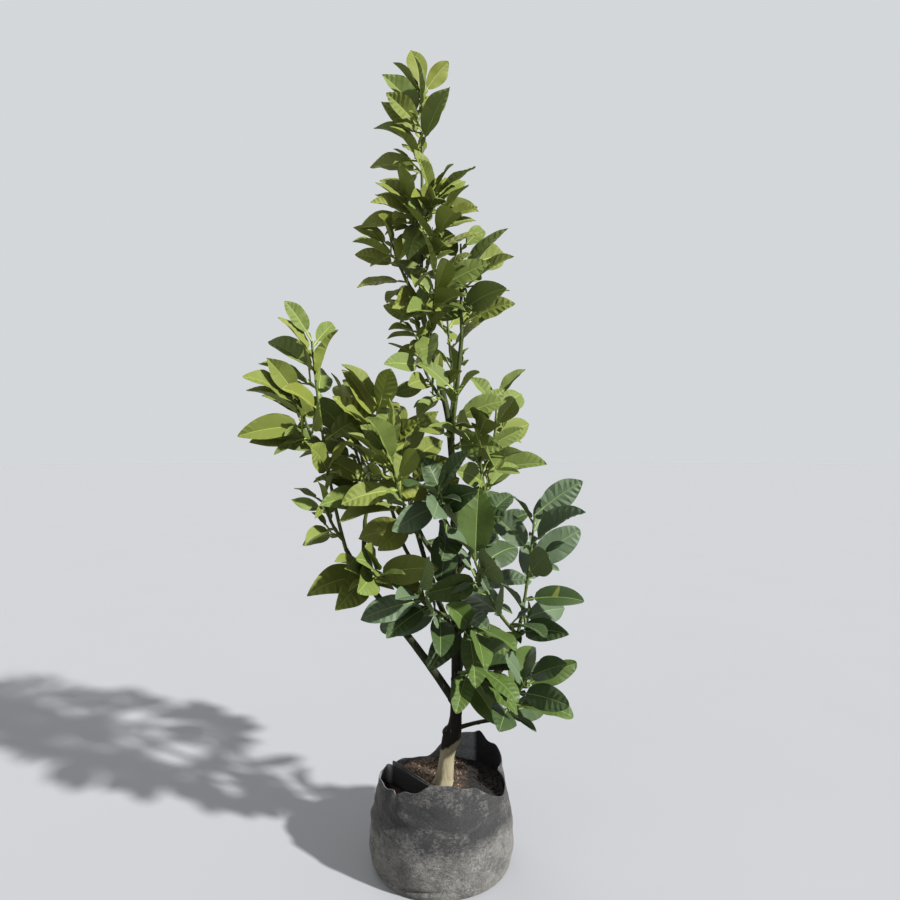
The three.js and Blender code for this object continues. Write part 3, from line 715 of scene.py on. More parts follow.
def leaf_surfaces(poses, grid, chance, leaf, tones):
    """The points of many leaves at once.
    The outline is the sine of half a turn over the blade's length, with the place and the sine each
    raised to a power, so that the widest part lies below the middle. The sine's power grows from a half
    at the round foot to its own value at the tip, which is more pointed on young leaves.
    The rings sweep forward to the margin, as the side veins do, and every other one stands higher, so
    that the blade swells between its veins. The margins bend down and wave, the tip curls down, and the
    two halves fold up along the rib, further on young leaves."""
    count = len(poses)
    pose = SimpleNamespace(**{k: np.array([getattr(p, k) for p in poses]) for k in vars(poses[0])})

    def draw(ends):
        return chance.uniform(*ends, count)[:, None, None]

    def by_age(what):
        values = np.where(tones > LAST_YOUNG_TONE, getattr(OLD_BLADE, what), getattr(FRESH_BLADE, what))
        return values[:, None, None]

    blade = pose.blade[:, None, None]
    scale = blade / USUAL_BLADE
    place, power = draw(RANGES.place), draw(RANGES.power) + by_age("tip")
    widest = blade * leaf.blade_width * grid.narrow / 2 * draw(RANGES.width)
    rib = mix(0.8, 0.22, grid.blade)[None, :, None] * scale
    share, side, top = grid.share, grid.side, grid.top
    swept = grid.blade[None, :, None] + leaf.sweep * share * np.sin(np.pi * grid.blade)[None, :, None]
    width = widest * np.sin(np.pi * swept**place) ** mix(0.5, power, swept)
    across = side * (rib + (width - rib) * share)
    edge = share * (1.06 - share) * 3.4
    swell = np.where(np.arange(len(grid.blade)) % 2, 1.0, -1.0)[None, :, None]
    relief = leaf.vein_relief / MM * by_age("swell")
    above = relief * scale * draw(RANGES.swell) * swell * edge
    above = above - width * share**2 * draw(RANGES.bend)
    ripple = np.sin(2 * np.pi * (draw(RANGES.waves) * swept + draw((0, 1))) + side * draw((-1, 1)))
    above = above + leaf.waviness / MM * scale * draw(RANGES.wave_height) * share**2 * ripple
    above = above - blade * draw(RANGES.curl) * (np.clip(swept - 0.55, 0, 1) / 0.45) ** 2
    thick = leaf.thickness / MM / 2
    centre = (side == 0) * np.where(top > 0, 0.12, mix(STALK_RADIUS, 0.35, swept))
    above = above + top * (thick * (share < 1) + centre)
    along = LEAF.petiole + blade * swept

    wing = leaf.wing / MM * scale * draw(RANGES.wing)
    reach = STALK_EDGE + (wing - STALK_EDGE) * grid.stalk_width[None, :, None]
    stalk_rib = STALK_RADIUS + 0 * reach
    stalk_across = side * (stalk_rib + (reach - stalk_rib) * share)
    round_part = np.sqrt(np.clip(1 - (stalk_across / STALK_EDGE) ** 2, 0, 1))
    stalk_above = top * (STALK_RADIUS * round_part + thick * (share < 1))
    stalk_along = LEAF.petiole * grid.stalk[None, :, None] + 0 * stalk_across

    along = np.concatenate([stalk_along, along], 1)
    across = np.concatenate([stalk_across, across], 1)
    above = np.concatenate([stalk_above, above], 1)
    fold = leaf.fold + chance.normal(0, leaf.fold_spread, count) + grid.cupped
    fold = np.clip(fold + by_age("fold")[:, 0, 0], 0.1, 0.75)
    twist = draw(RANGES.twist) * np.clip(along / (LEAF.petiole + blade) - 0.2, 0, 1)
    flat = [a.reshape(count, -1) for a in (along, across, above, twist)]
    body = leaf_points(pose, *flat[:3], fold, flat[3])
    ends = np.column_stack([np.full(count, -LEAF.sunk - 1.0), LEAF.petiole + pose.blade])
    drop = np.column_stack([np.zeros(count), above[:, -1].mean(1)])
    end_twist = np.column_stack([twist[:, 0, 0], twist[:, -1, 0]])
    poles = leaf_points(pose, ends, 0 * ends, drop, fold, end_twist)
    return np.concatenate([poles[:, :1], body, poles[:, 1:]], 1)


def many(points, faces):
    """The same skin many times over, as one mesh."""
    count, size = points.shape[:2]
    step = np.arange(count)[:, None, None] * size
    return points.reshape(-1, 3), [(block[None] + step).reshape(-1, block.shape[1]) for block in faces]


def leaf_finishes(grid, tones, blotched):
    """The finish of each face of many leaves: the strip that it lies in, on the leaf's own tone. One leaf
    can be blotched: a few of its faces below its middle turn yellow."""
    blocks = []
    for block in grid.faces:
        strip = np.tile(grid.strip, len(block) // len(grid.strip))
        blocks.append(TONE_STRIPS[tones][:, strip])
    if blotched is not None:
        for block, ring, strip in BLOTCHED_FACES:
            blocks[block][blotched, ring * len(grid.strip) + strip] = BLOTCH
    return np.concatenate([block.ravel() for block in blocks])


# Finishes


def feed(tree, target, inputs):
    """Each input is a value for its socket, or another node's output to link to it."""
    for name, value in inputs.items():
        if isinstance(value, bpy.types.NodeSocket):
            tree.links.new(value, target.inputs[name])
        else:
            target.inputs[name].default_value = value


def node(tree, kind, inputs=None, out=0, **settings):
    """Adds a node with its settings and links, and returns one of its outputs."""
    made = tree.nodes.new("ShaderNode" + kind)
    for name, value in settings.items():
        setattr(made, name, value)
    feed(tree, made, inputs or {})
    return made.outputs[out]


def colour(code):
    """A hex colour as a socket takes it."""
    return (*linear(code), 1)


# A Mix node's sockets are numbered: 0 is its share, and 6 and 7 are its two colours. Socket 2 gives the
# mixed colour. In a MapRange node 0 is the value, 1 and 2 are its range, and 4 is what the end of it gives.
IN_COLOUR = {"out": 2, "data_type": "RGBA"}


def per_mm(size):
    """The scale of a pattern whose features are so many millimetres across."""
    return 1 / (size * MM)


def finish(name, constants):
    """A material with a Principled shader, whose constants are set on its own sockets. It is given with
    its nodes, the shader, and the place on the piece, which its patterns read."""
    made = bpy.data.materials.new(name)
    made.use_nodes = True
    shader = made.node_tree.nodes["Principled BSDF"]
    feed(made.node_tree, shader, constants)
    return made, made.node_tree, shader, node(made.node_tree, "TexCoord", out="Object")


def leaf_finish(name, code, roughness, coat=0.0):
    """Living citrus leaf, a waxed skin over a grain of oil glands about a millimetre apart. The wax gives
    soft broad highlights, and the grain breaks them up. Its colour is plain, and differs by leaf."""
    made, tree, shader, place = finish(name, {
        "Base Color": colour(code), "Roughness": roughness, "IOR": 1.45,
        "Coat Weight": coat, "Coat Roughness": 0.4, "Specular IOR Level": 0.2,
    })
    glands = node(tree, "TexNoise", {"Vector": place, "Scale": per_mm(1.4), "Detail": 2.0})
    swell = node(tree, "TexNoise", {"Vector": place, "Scale": per_mm(9), "Detail": 2.0})
    grain = node(tree, "Bump", {"Height": glands, "Distance": 0.05 * MM, "Strength": 0.4})
    both = node(tree, "Bump", {"Height": swell, "Distance": 0.8 * MM, "Strength": 0.5, "Normal": grain})
    feed(tree, shader, {"Normal": both})
    return made


def bark_finish(name, low, high, grafted):
    """Two-year-old citrus bark, thin and dull, striped along the stem with pale corky dots. It is dark
    where it is old, and turns green between two heights in metres. Below the slanting graft line it is
    the stock's bare tan bark."""
    made, tree, shader, place = finish(name, {"Roughness": 0.8, "IOR": 1.4, "Specular IOR Level": 0.2})
    height = node(tree, "SeparateXYZ", {"Vector": place}, out="Z")
    drawn = node(tree, "Mapping", {"Vector": place, "Scale": (1, 1, 0.14)})
    stripes = node(tree, "TexNoise", {"Vector": drawn, "Scale": per_mm(3), "Detail": 5.0})
    cloud = node(tree, "TexNoise", {"Vector": place, "Scale": per_mm(22), "Detail": 3.0})
    dots = node(tree, "TexVoronoi", {"Vector": drawn, "Scale": per_mm(5)}, out="Distance")
    rise = node(tree, "MapRange", {0: height, 1: low, 2: high})
    old = node(tree, "Mix", {0: stripes, 6: colour("#080705"), 7: colour("#181510")}, **IN_COLOUR)
    fresh = node(tree, "Mix", {0: stripes, 6: colour("#1f2813"), 7: colour("#465029")}, **IN_COLOUR)
    aged = node(tree, "Mix", {0: rise, 6: old, 7: fresh}, **IN_COLOUR)
    worn = node(tree, "MapRange", {0: cloud, 1: 0.5, 2: 0.72, 4: 0.35})
    dusty = node(tree, "Mix", {0: worn, 6: aged, 7: colour("#312d24")}, **IN_COLOUR)
    dot = node(tree, "MapRange", {0: dots, 1: 0.22, 2: 0.12, 4: 0.5})
    bark = node(tree, "Mix", {0: dot, 6: dusty, 7: colour("#5b5440")}, **IN_COLOUR)
    if grafted:
        # The line rises 0.64 to the right, is ragged by the stripes and blurs over 4 mm.
        sideways = node(tree, "SeparateXYZ", {"Vector": place}, out="X")
        slant = node(tree, "Math", {0: sideways, 1: -0.64, 2: height}, operation="MULTIPLY_ADD")
        ragged = node(tree, "Math", {0: stripes, 1: 0.012, 2: slant}, operation="MULTIPLY_ADD")
        scion = node(tree, "MapRange", {0: ragged, 1: 0.193, 2: 0.197})
        streaks = node(tree, "Mix", {0: stripes, 6: colour("#554d3a"), 7: colour("#8c856c")}, **IN_COLOUR)
        bark = node(tree, "Mix", {0: scion, 6: streaks, 7: bark}, **IN_COLOUR)
    rough = node(tree, "Bump", {"Height": stripes, "Distance": 0.9 * MM, "Strength": 0.8})
    feed(tree, shader, {"Base Color": bark, "Normal": rough})
    return made


def shoot_finish():
    """Green citrus shoot, this year's wood: smooth, waxed and faintly ribbed along its length."""
    made, tree, shader, place = finish("green_shoot", {
        "Base Color": colour("#3c471a"), "Roughness": 0.55, "IOR": 1.45, "Specular IOR Level": 0.25,
    })
    drawn = node(tree, "Mapping", {"Vector": place, "Scale": (1, 1, 0.2)})
    ribs = node(tree, "TexNoise", {"Vector": drawn, "Scale": per_mm(1.6), "Detail": 3.0})
    feed(tree, shader, {"Normal": node(tree, "Bump", {"Height": ribs, "Distance": 0.3 * MM})})
    return made


def felt_finish(bag):
    """Needled felt of recycled fibre, charcoal, in use for a season. Fibres a few millimetres long lie
    mostly round the bag, and pale soil dust sits in them, thickest on the lower wall."""
    made, tree, shader, place = finish("needled_felt", {
        "Roughness": 0.95, "IOR": 1.4, "Sheen Weight": 0.2, "Sheen Roughness": 0.6,
        "Sheen Tint": colour("#b8b2a6"),
    })
    height = node(tree, "SeparateXYZ", {"Vector": place}, out="Z")
    drawn = node(tree, "Mapping", {"Vector": place, "Scale": (1, 1, 1.8)})
    fibres = node(tree, "TexNoise", {"Vector": drawn, "Scale": per_mm(2.2), "Detail": 6.0, "Roughness": 0.7})
    tufts = node(tree, "TexNoise", {"Vector": drawn, "Scale": per_mm(7), "Detail": 6.0, "Roughness": 0.72})
    patches = node(tree, "TexNoise", {"Vector": place, "Scale": per_mm(30), "Detail": 5.0, "Roughness": 0.6})
    # More dust lies low, most up to 66 mm and none from 98 mm, and half as much on the rim above 168 mm.
    low = node(tree, "MapRange", {0: height, 1: 0.098, 2: 0.066, 4: 0.85})
    edge = node(tree, "MapRange", {0: height, 1: 0.134, 2: 0.168, 4: 0.4})
    ends = node(tree, "Math", {0: low, 1: edge}, operation="ADD")
    laid = node(tree, "Math", {0: patches, 1: 2.4, 2: ends}, operation="MULTIPLY_ADD")
    caught = node(tree, "Math", {0: tufts, 1: 2.4, 2: laid}, operation="MULTIPLY_ADD")
    dust = node(tree, "MapRange", {0: caught, 1: 2.52, 2: 3.6})
    thin = node(tree, "MapRange", {0: fibres, 1: 0.38, 2: 0.62})
    cloth = node(tree, "Mix", {0: thin, 6: (*bag.felt_dark, 1), 7: (*bag.felt, 1)}, **IN_COLOUR)
    caked = node(tree, "Mix", {0: thin, 6: colour("#3a3937"), 7: (*bag.dust, 1)}, **IN_COLOUR)
    dusty = node(tree, "Mix", {0: dust, 6: cloth, 7: caked}, **IN_COLOUR)
    nap = node(tree, "Bump", {"Height": fibres, "Distance": 0.9 * MM, "Strength": 0.8})
    lumps = node(tree, "Bump", {"Height": tufts, "Distance": 3.2 * MM, "Strength": 0.7, "Normal": nap})
    crumple = node(tree, "Bump", {"Height": patches, "Distance": 7 * MM, "Strength": 0.5, "Normal": lumps})
    feed(tree, shader, {"Base Color": dusty, "Normal": crumple})
    return made


def inner_felt_finish():
    """The same felt inside the bag, grey on the left and at the back. Painted shade makes it nearly black on
    the right and on the flap over the soil."""
    made, tree, shader, place = finish("inner_felt", {"Roughness": 0.97, "IOR": 1.4})
    fibres = node(tree, "TexNoise", {"Vector": place, "Scale": per_mm(3), "Detail": 6.0})
    sideways = node(tree, "SeparateXYZ", {"Vector": place}, out="X")
    flat = node(tree, "Mapping", {"Vector": place, "Scale": (1, 1, 0)})
    inward = node(tree, "VectorMath", {0: flat}, out="Value", operation="LENGTH")
    # Painted shade: the right side starts at 58 to 66 mm, and only the flap comes within 94 to 86 mm of the
    # middle.
    right = node(tree, "MapRange", {0: sideways, 1: 0.058, 2: 0.066})
    middle = node(tree, "MapRange", {0: inward, 1: 0.094, 2: 0.086})
    painted_shade = node(tree, "Math", {0: right, 1: middle}, operation="MAXIMUM")
    dull = node(tree, "Mix", {0: fibres, 6: colour("#2d2d2f"), 7: colour("#7c7d7f")}, **IN_COLOUR)
    tone = node(tree, "Mix", {0: painted_shade, 6: dull, 7: colour("#08080a")}, **IN_COLOUR)
    nap = node(tree, "Bump", {"Height": fibres, "Distance": 1.0 * MM})
    feed(tree, shader, {"Base Color": tone, "Normal": nap})
    return made


def coir_finish(name, dark, pale):
    """Coir and bark compost, chopped to a few millimetres: dull, and each bit its own brown."""
    made, tree, shader, place = finish(name, {"Roughness": 0.96, "IOR": 1.4})
    bits = node(tree, "TexVoronoi", {"Vector": place, "Scale": per_mm(5)}, out="Color")
    crumbs = node(tree, "TexNoise", {"Vector": place, "Scale": per_mm(2), "Detail": 6.0, "Roughness": 0.7})
    pick = node(tree, "SeparateColor", {"Color": bits}, out="Red")
    share = node(tree, "Math", {0: pick, 1: crumbs}, operation="MULTIPLY")
    dry = node(tree, "Mix", {0: share, 6: colour(dark), 7: colour(pale)}, **IN_COLOUR)
    # Painted shadow of the bag's right wall: on the right the compost is darkened to nearly black.
    sideways = node(tree, "SeparateXYZ", {"Vector": place}, out="X")
    painted_wall_shadow = node(tree, "MapRange", {0: sideways, 1: 0.028, 2: 0.05, 4: 0.92})
    tone = node(tree, "Mix", {0: painted_wall_shadow, 6: dry, 7: colour("#060504")}, **IN_COLOUR)
    rough = node(tree, "Bump", {"Height": crumbs, "Distance": 1.4 * MM})
    feed(tree, shader, {"Base Color": tone, "Normal": rough})
    return made


# The leaf tones, each with its colour, its roughness and how strong its coat of wax is.
TONES = {
    "lime": ("#5d6326", 0.62, 0.0),
    "fresh": ("#565e27", 0.62, 0.0),
    "olive": ("#525e2b", 0.6, 0.0),
    "green": ("#3a4a1e", 0.56, 0.03),
    "deep": ("#2b3a1c", 0.52, 0.06),
    # The dusty tone is greyed and blued partly for dust on old leaves and partly as a painted sheen of sky
    # reflection.
    "dusty": ("#43513a", 0.6, 0.03),
}
# The colours of undersides and ribs, from young growth to old.
UNDERSIDES = {"young": "#687230", "grown": "#5a642a", "old": "#515d36"}
RIBS = {"young": "#7a8442", "old": "#65753f"}
# The tones that the leaves of an age are dealt. One that stands twice comes twice as often.
AGES = {
    "young": ["lime", "lime", "fresh", "fresh", "olive"],
    "grown": ["fresh", "fresh", "olive", "olive", "olive"],
    "old": ["green", "deep", "deep", "dusty", "dusty"],
}
# The chance that a leaf has the tone that is common on its shoot.
COMMON_TONE = 0.4
TONE_NAMES = list(TONES)
LAST_YOUNG_TONE = TONE_NAMES.index("olive")
# Finishes are numbered: the tones, the undersides, the ribs and the blotch. Each tone has the number of
# its underside, and the finishes of a leaf's four strips: blade, underside, rib and the rib's underside.
UNDERSIDE_OF_TONE = [0, 0, 1, 2, 2, 2]
FIRST_UNDERSIDE = len(TONES)
FIRST_RIB = FIRST_UNDERSIDE + len(UNDERSIDES)
RIB_OF_TONE = [FIRST_RIB + (tone > LAST_YOUNG_TONE) for tone in range(len(TONES))]
TONE_STRIPS = np.array([
    [tone, FIRST_UNDERSIDE + UNDERSIDE_OF_TONE[tone], RIB_OF_TONE[tone], RIB_OF_TONE[tone]]
    for tone in range(len(TONES))
])
# One old leaf has a yellow blotch: its finish, the point that the leaf is nearest to, and its faces, each
# by its block of triangles, its ring of the leaf and its strip across it.
BLOTCH = FIRST_RIB + len(RIBS)
BLOTCHED_PLACE = np.array([171, -10, 448])
BLOTCHED_FACES = [(0, 10, 1), (1, 10, 1), (0, 11, 1), (0, 10, 0)]


@functools.cache
def foliage_finishes():
    """Every finish of the leaves, in the order of their numbers."""
    made = [leaf_finish(f"leaf_{name}", *look) for name, look in TONES.items()]
    made += [leaf_finish(f"underside_{name}", code, roughness=0.66) for name, code in UNDERSIDES.items()]
    made += [leaf_finish(f"rib_{name}", code, roughness=0.56) for name, code in RIBS.items()]
    made.append(leaf_finish("yellow_blotch", "#5a612c", roughness=0.6))
    return made


# Bag


def around_bag(values, angle):
    """A value that eases by half a cosine between equally spaced directions round the bag."""
    place = np.mod(angle / (2 * np.pi) * len(values), len(values))
    before = np.floor(place).astype(int) % len(values)
    ease = (1 - np.cos(np.mod(place, 1) * np.pi)) / 2
    values = np.array(values, float)
    return mix(values[before], values[(before + 1) % len(values)], ease)


def turn_between(angle, middle):
    """The signed angle from a middle direction, up to half a turn."""
    return np.mod(angle - middle + np.pi, 2 * np.pi) - np.pi


def bell(value):
    """A bell curve that is 1 at 0."""
    return np.exp(-(value**2))


def facing(angle, middle, width):
    """How near directions are to a middle one, by a bell curve of the angle between them."""
    return bell(turn_between(angle, middle) / width)


def rim_height(angle):
    """The rim: its heights, with small sags between them and its sharper turns."""
    sags = 1.6 * np.sin(5 * angle + 0.8) + 1.1 * np.sin(11 * angle + 2) + 0.7 * np.sin(17 * angle)
    for middle, width, rise in RIM_TURNS:
        sags = sags + rise * facing(angle, middle, width)
    return around_bag(BAG.rim_heights, angle) + sags


def wall_radius(angle, height):
    """The wall's outside: a quarter of a sine out from the foot to the belly, then in to the rim as a
    power of the height, with soft dents that run down the felt."""
    rim = around_bag(BAG.rim_heights, angle)
    low = mix(BAG.foot, BAG.belly, np.sin(np.clip(height / BAG.belly_height, 0, 1) * np.pi / 2))
    lean = np.clip((height - BAG.belly_height) / (rim - BAG.belly_height), 0, None) ** 1.7
    plain = mix(low, around_bag(BAG.rim_radii, angle), lean)
    dents = 1.3 * np.cos(3 * angle + 0.6) + 1.1 * np.cos(7 * angle + height / 40)
    return plain + dents * np.clip(height / 30, 0, 1)


def crease(angle, height, middle, level, slant, reach, width, depth):
    """A wave across a slanting line that fades towards its two ends: a valley above the line and a
    swelling below it."""
    turn = turn_between(angle, middle)
    across = (height - level - slant * turn * BAG.belly) / width
    return depth * across * np.exp(-(across**2) / 2) * bell(turn / reach)


def felt_folds(angle, height, bag):
    """How far the felt stands out from the plain wall, in millimetres. There are ripples, creases at
    random and two strong ones on the front. One more goes all round where the soil ends, and the foot is
    tucked in low on the left. Near the rim the felt is pinched."""
    chance = np.random.default_rng(17)
    total = 0.6 * np.sin(9 * angle + height / 9) * np.clip(height / 60, 0, 1)
    for _ in range(CREASES.count):
        middle = chance.uniform(0, 2 * np.pi)
        level = chance.triangular(CREASES.low, CREASES.usual, CREASES.top)
        slant, reach = chance.uniform(-0.45, 0.45), chance.uniform(0.14, 0.5)
        width, depth = chance.uniform(2.6, 7), chance.uniform(0.6, 2.1)
        total = total - crease(angle, height, middle, level, slant, reach, width, depth)
    for place in FRONT_CREASES:
        total = total - crease(angle, height, *place)
    soil_line = 101 + 5 * np.sin(angle + 0.4) + 3 * np.sin(3 * angle + 1)
    across = (height - soil_line) / 6
    total = total - (2.6 + 1.2 * np.sin(5 * angle + 1)) * across * np.exp(-(across**2) / 2)
    turn = turn_between(angle, TUCK.middle)
    tuck = (height - TUCK.height - 5 * np.clip(turn / 0.7, -1, 1)) / 2
    total = total - TUCK.depth * np.exp(-(tuck**2) / 2) * np.exp(-((turn / TUCK.reach) ** 4))
    slack = np.clip((height - 108) / 44, 0, 1.2) ** 1.4
    for middle, width, depth in RIM_PINCHES:
        total = total - depth * slack * facing(angle, middle, width)
    return total * bag.crease


def felt_outside(angle, height, bag):
    """The felt's outside on the level: the creased wall, with the flap pulled in from it. Directions
    near the flap's middle all move along one line, by a bell curve that grows with the height."""
    radius = wall_radius(angle, height) + felt_folds(angle, height, bag)
    near = facing(angle, FLAP.middle, FLAP.width)
    climb = np.clip((height - FLAP.foot) / FLAP.climb, 0, 1)
    pulled = near * climb**2 * (3 - 2 * climb)
    wall = np.stack([radius * np.cos(angle), radius * np.sin(angle)], -1)
    return wall + pulled[..., None] * np.array(FLAP.reach)


def outward_of(ring):
    """The level direction out of the felt: square to the way round the bag."""
    way = np.roll(ring, -1, 1) - np.roll(ring, 1, 1)
    return unit(np.stack([way[..., 1], -way[..., 0]], -1))


def bag_angles():
    """Directions round the bag, evenly spaced, with more of them across the flap."""
    even = np.linspace(0, 2 * np.pi, 216, endpoint=False)
    close = FLAP.middle + np.linspace(-0.15, 0.15, 45)
    return np.sort(np.concatenate([even[np.abs(even - FLAP.middle) > 0.16], close]))


def bag_skin(bag):
    """The felt as one closed skin: out along the underside, round the foot, up the wall, over the rim
    as half a circle, down the inside and in along the floor."""
    angle = bag_angles()[None]
    thick, corner = bag.felt_thickness / MM, 7.0
    rim = rim_height(angle) - thick / 2
    level = np.stack([np.cos(angle), np.sin(angle)], -1)
    low = np.full_like(angle, corner)
    foot = wall_radius(angle, low) + felt_folds(angle, low, bag) - corner
    under = foot * np.linspace(0.12, 1, 8)[:, None]
    bend = np.linspace(0.15, 1, 5)[:, None] * np.pi / 2
    heights = mix(corner, rim, np.linspace(0, 1, 86)[1:, None])
    outside = felt_outside(angle, heights, bag)
    lip = np.linspace(0, np.pi, 7)[1:-1, None]
    over = outside[-1:] + outward_of(outside[-1:]) * (thick / 2 * (np.cos(lip) - 1))[..., None]
    depths = mix(rim, BAG.floor + 3.0, np.linspace(0, 1, 44)[:, None])
    inside = felt_outside(angle, depths, bag)
    inside = inside - outward_of(inside) * thick
    floor = (foot - thick) * np.linspace(0.94, 0.1, 4)[:, None]
    parts = [
        (under[..., None] * level, 0 * under),
        ((foot + corner * np.sin(bend))[..., None] * level, corner * (1 - np.cos(bend)) + 0 * angle),
        (outside, heights),
        (over, rim + thick / 2 * np.sin(lip)),
        (inside, depths),
        (floor[..., None] * level, BAG.floor + 0 * floor),
    ]
    grid = np.concatenate([np.concatenate([flat, up[..., None]], -1) for flat, up in parts])
    outer_rows = sum(len(flat) for flat, _ in parts[:4]) - 3
    return skin(grid, (0, 0, 0), (0, 0, BAG.floor)), rings(len(grid), angle.size), outer_rows, angle.size


# Soil


def soil_height(x, y):
    """The soil's surface: gentle waves, a low heap round the trunk's foot, and a hollow beyond the flap,
    whose depth grows with the distance from the flap's line."""
    gentle = 1.5 * np.sin(x / 17 + 1) * np.cos(y / 23) + 0.9 * np.sin(x / 7 + y / 9)
    gentle = gentle + 0.5 * np.sin(y / 4 - x / 6)
    heap = SOIL.heap * np.exp(-((x - TRUNK_AXIS[0][0]) ** 2 + y**2) / SOIL.heap_width**2)
    along = unit(np.array(FLAP.reach, float))
    # The flap's line starts at the rim's radius there, the sixth of twelve.
    from_x, from_y = BAG.rim_radii[5] * math.cos(FLAP.middle), BAG.rim_radii[5] * math.sin(FLAP.middle)
    beyond = (x - from_x) * along[1] - (y - from_y) * along[0]
    return SOIL_TOP + SOIL.raised + gentle + heap - SOIL.hollow * np.clip((beyond - 2) / 8, 0, 1)


def soil_skin(bag):
    """The soil as one closed skin: underside, side and crumbly top. Its top edge follows the felt."""
    angle = np.linspace(0, 2 * np.pi, 128, endpoint=False)[None]
    gap = BAG.wall + CLEARANCE
    levels = np.array([BAG.floor + CLEARANCE, 42, 72, 100, SOIL_TOP - 2.0])[:, None]
    levels = levels + 0 * angle
    # The side keeps off the wall's creases, and comes nearer to the felt at the top edge.
    spare = np.array([6, 6, 6, 6, 1])[:, None]
    sides = wall_radius(angle, levels) + np.minimum(felt_folds(angle, levels, bag), 0) - gap - spare
    sides = sides - SOIL.room * facing(angle, FLAP.middle, SOIL.room_width)
    shares = np.linspace(0.985, 0.03, 46)[:, None]
    radius = np.concatenate([sides[:1] * 0.5, sides, sides[-1:] * shares])
    x, y = radius * np.cos(angle), radius * np.sin(angle)
    chance = np.random.default_rng(5)
    crumbs = chance.uniform(-SOIL.crumb, SOIL.crumb, (len(shares), angle.size))
    # The rings before the top's are the one on the underside and those of the side.
    first = 1 + len(sides)
    top = soil_height(x[first:], y[first:]) + crumbs
    flat = np.full((1, angle.size), BAG.floor + CLEARANCE)
    height = np.concatenate([flat, levels, top])
    grid = np.stack([x, y, height], -1)
    centre = soil_height(0.0, 0.0)
    return skin(grid, (0, 0, BAG.floor + CLEARANCE), (0, 0, centre)), rings(len(grid), angle.size)


def turns_of(chance, count):
    """Random turns in space, as rows of three by three numbers, from random unit quaternions."""
    w, x, y, z = unit(chance.normal(size=(count, 4))).T
    return np.stack([
        np.stack([1 - 2 * (y * y + z * z), 2 * (x * y - z * w), 2 * (x * z + y * w)], -1),
        np.stack([2 * (x * y + z * w), 1 - 2 * (x * x + z * z), 2 * (y * z - x * w)], -1),
        np.stack([2 * (x * z - y * w), 2 * (y * z + x * w), 1 - 2 * (x * x + y * y)], -1),
    ], 1)


def chips(count, size):
    """Loose bits of coir: long six-sided crumbs with uneven corners, turned at random, half sunk in the
    soil and kept off the trunk and the felt."""
    chance = np.random.default_rng(23)
    angle = chance.uniform(0, 2 * np.pi, count)
    radius = CHIP_REACH * np.sqrt(chance.uniform(0, 1, count))
    x, y = radius * np.cos(angle), radius * np.sin(angle)
    inside = radius < wall_radius(angle, np.full(count, SOIL_TOP + 6.0)) - BAG.wall - size * 1.4
    clear = np.hypot(x - TRUNK_AXIS[0][0], y) > TRUNK_TAPER[0][1] + 1 + size
    x, y = x[inside & clear], y[inside & clear]
    corner = np.array([(i, j, k) for i in (-1, 1) for j in (-1, 1) for k in (-1, 1)], float)
    box = np.array([[0, 1, 3, 2], [4, 6, 7, 5], [0, 4, 5, 1], [2, 3, 7, 6], [0, 2, 6, 4], [1, 5, 7, 3]])
    half = chance.uniform(0.35, 1, (len(x), 1, 3)) * size / 2 * np.array([1, 0.55, 0.4])
    bits = corner * half * chance.uniform(0.6, 1.15, (len(x), 8, 3))
    bits = np.einsum("nij,npj->npi", turns_of(chance, len(x)), bits)
    place = np.column_stack([x, y, soil_height(x, y) + 0.6])
    return many(bits + place[:, None], [box])


# Wood


def scars(angle, run, spacing, length, width):
    """Old leaf scars, from 0 to 1. There is one in the middle of each step along a limb, turned from the
    one before by the golden angle, and it fades by a bell curve along the limb and round it."""
    step = np.mod(run, spacing) - spacing / 2
    spiral = np.floor(run / spacing) * GOLDEN_ANGLE
    return bell(step / length) * facing(angle, spiral, width)


def trunk_relief(bark):
    """The trunk's surface: furrows that run up it, five lobes that fade out above the soil, a shoulder
    on the left where the stock was cut beside the graft, a ring round the graft, and old leaf scars."""
    fine, broad = waves(3, 14, 90, 16), waves(4, 5, 60, 6)

    def at(angle, run, axis):
        height = axis[:, 2:3]
        depth = bark.relief / MM * np.clip(height / 500, 0.45, 1) ** -0.6
        total = depth * (0.55 * fine(angle, run) + 0.7 * broad(angle, run))
        lobes = 2.6 * np.cos(5 * angle + 0.7) + 1.2 * np.cos(3 * angle)
        total = total + (lobes + 2.5) * np.exp(-(height - SOIL_TOP) / 13)
        # Angles round the trunk are counted from its left, where the shoulder is.
        shoulder = np.exp(-(((height - GRAFT.shoulder) / 8.5) ** 4))
        total = total + 4.2 * facing(angle, 0.0, 0.75) * shoulder
        total = total + 1.2 * bell((height - GRAFT.ring) / 9) * (1 + 0.4 * np.sin(3 * angle))
        return total + 1.3 * scars(angle, run, 34, 3.2, 0.7) * (height > GRAFT.scars_from)

    return at


def limb_relief(number, bark):
    """A bough's surface: a collar where it leaves its parent, shallow furrows, and old leaf scars that
    climb by the golden angle."""
    fine = waves(40 + number, 9, 60, 10)

    def at(angle, run, axis):
        collar = 2.2 * np.exp(-run / 9)
        scar = scars(angle, run + 9 * number, 22, 2.4, 0.8)
        return bark.relief / MM * 0.6 * fine(angle, run) + collar + 0.9 * scar

    return at


# Settings


def length_property(name, millimetres, description):
    return FloatProperty(name=name, description=description, default=millimetres * MM, unit="LENGTH", min=0)


def share_property(name, default, description):
    return FloatProperty(name=name, description=description, default=default, subtype="FACTOR", min=0)


def angle_property(name, degrees, description):
    return FloatProperty(
        name=name, description=description, default=math.radians(degrees), subtype="ANGLE", min=0
    )


def strength_property(name, default, description):
    return FloatProperty(name=name, description=description, default=default, min=0)


def colour_property(name, code, description):
    return FloatVectorProperty(
        name=name, description=description, default=linear(code), subtype="COLOR", size=3, min=0, max=1
    )


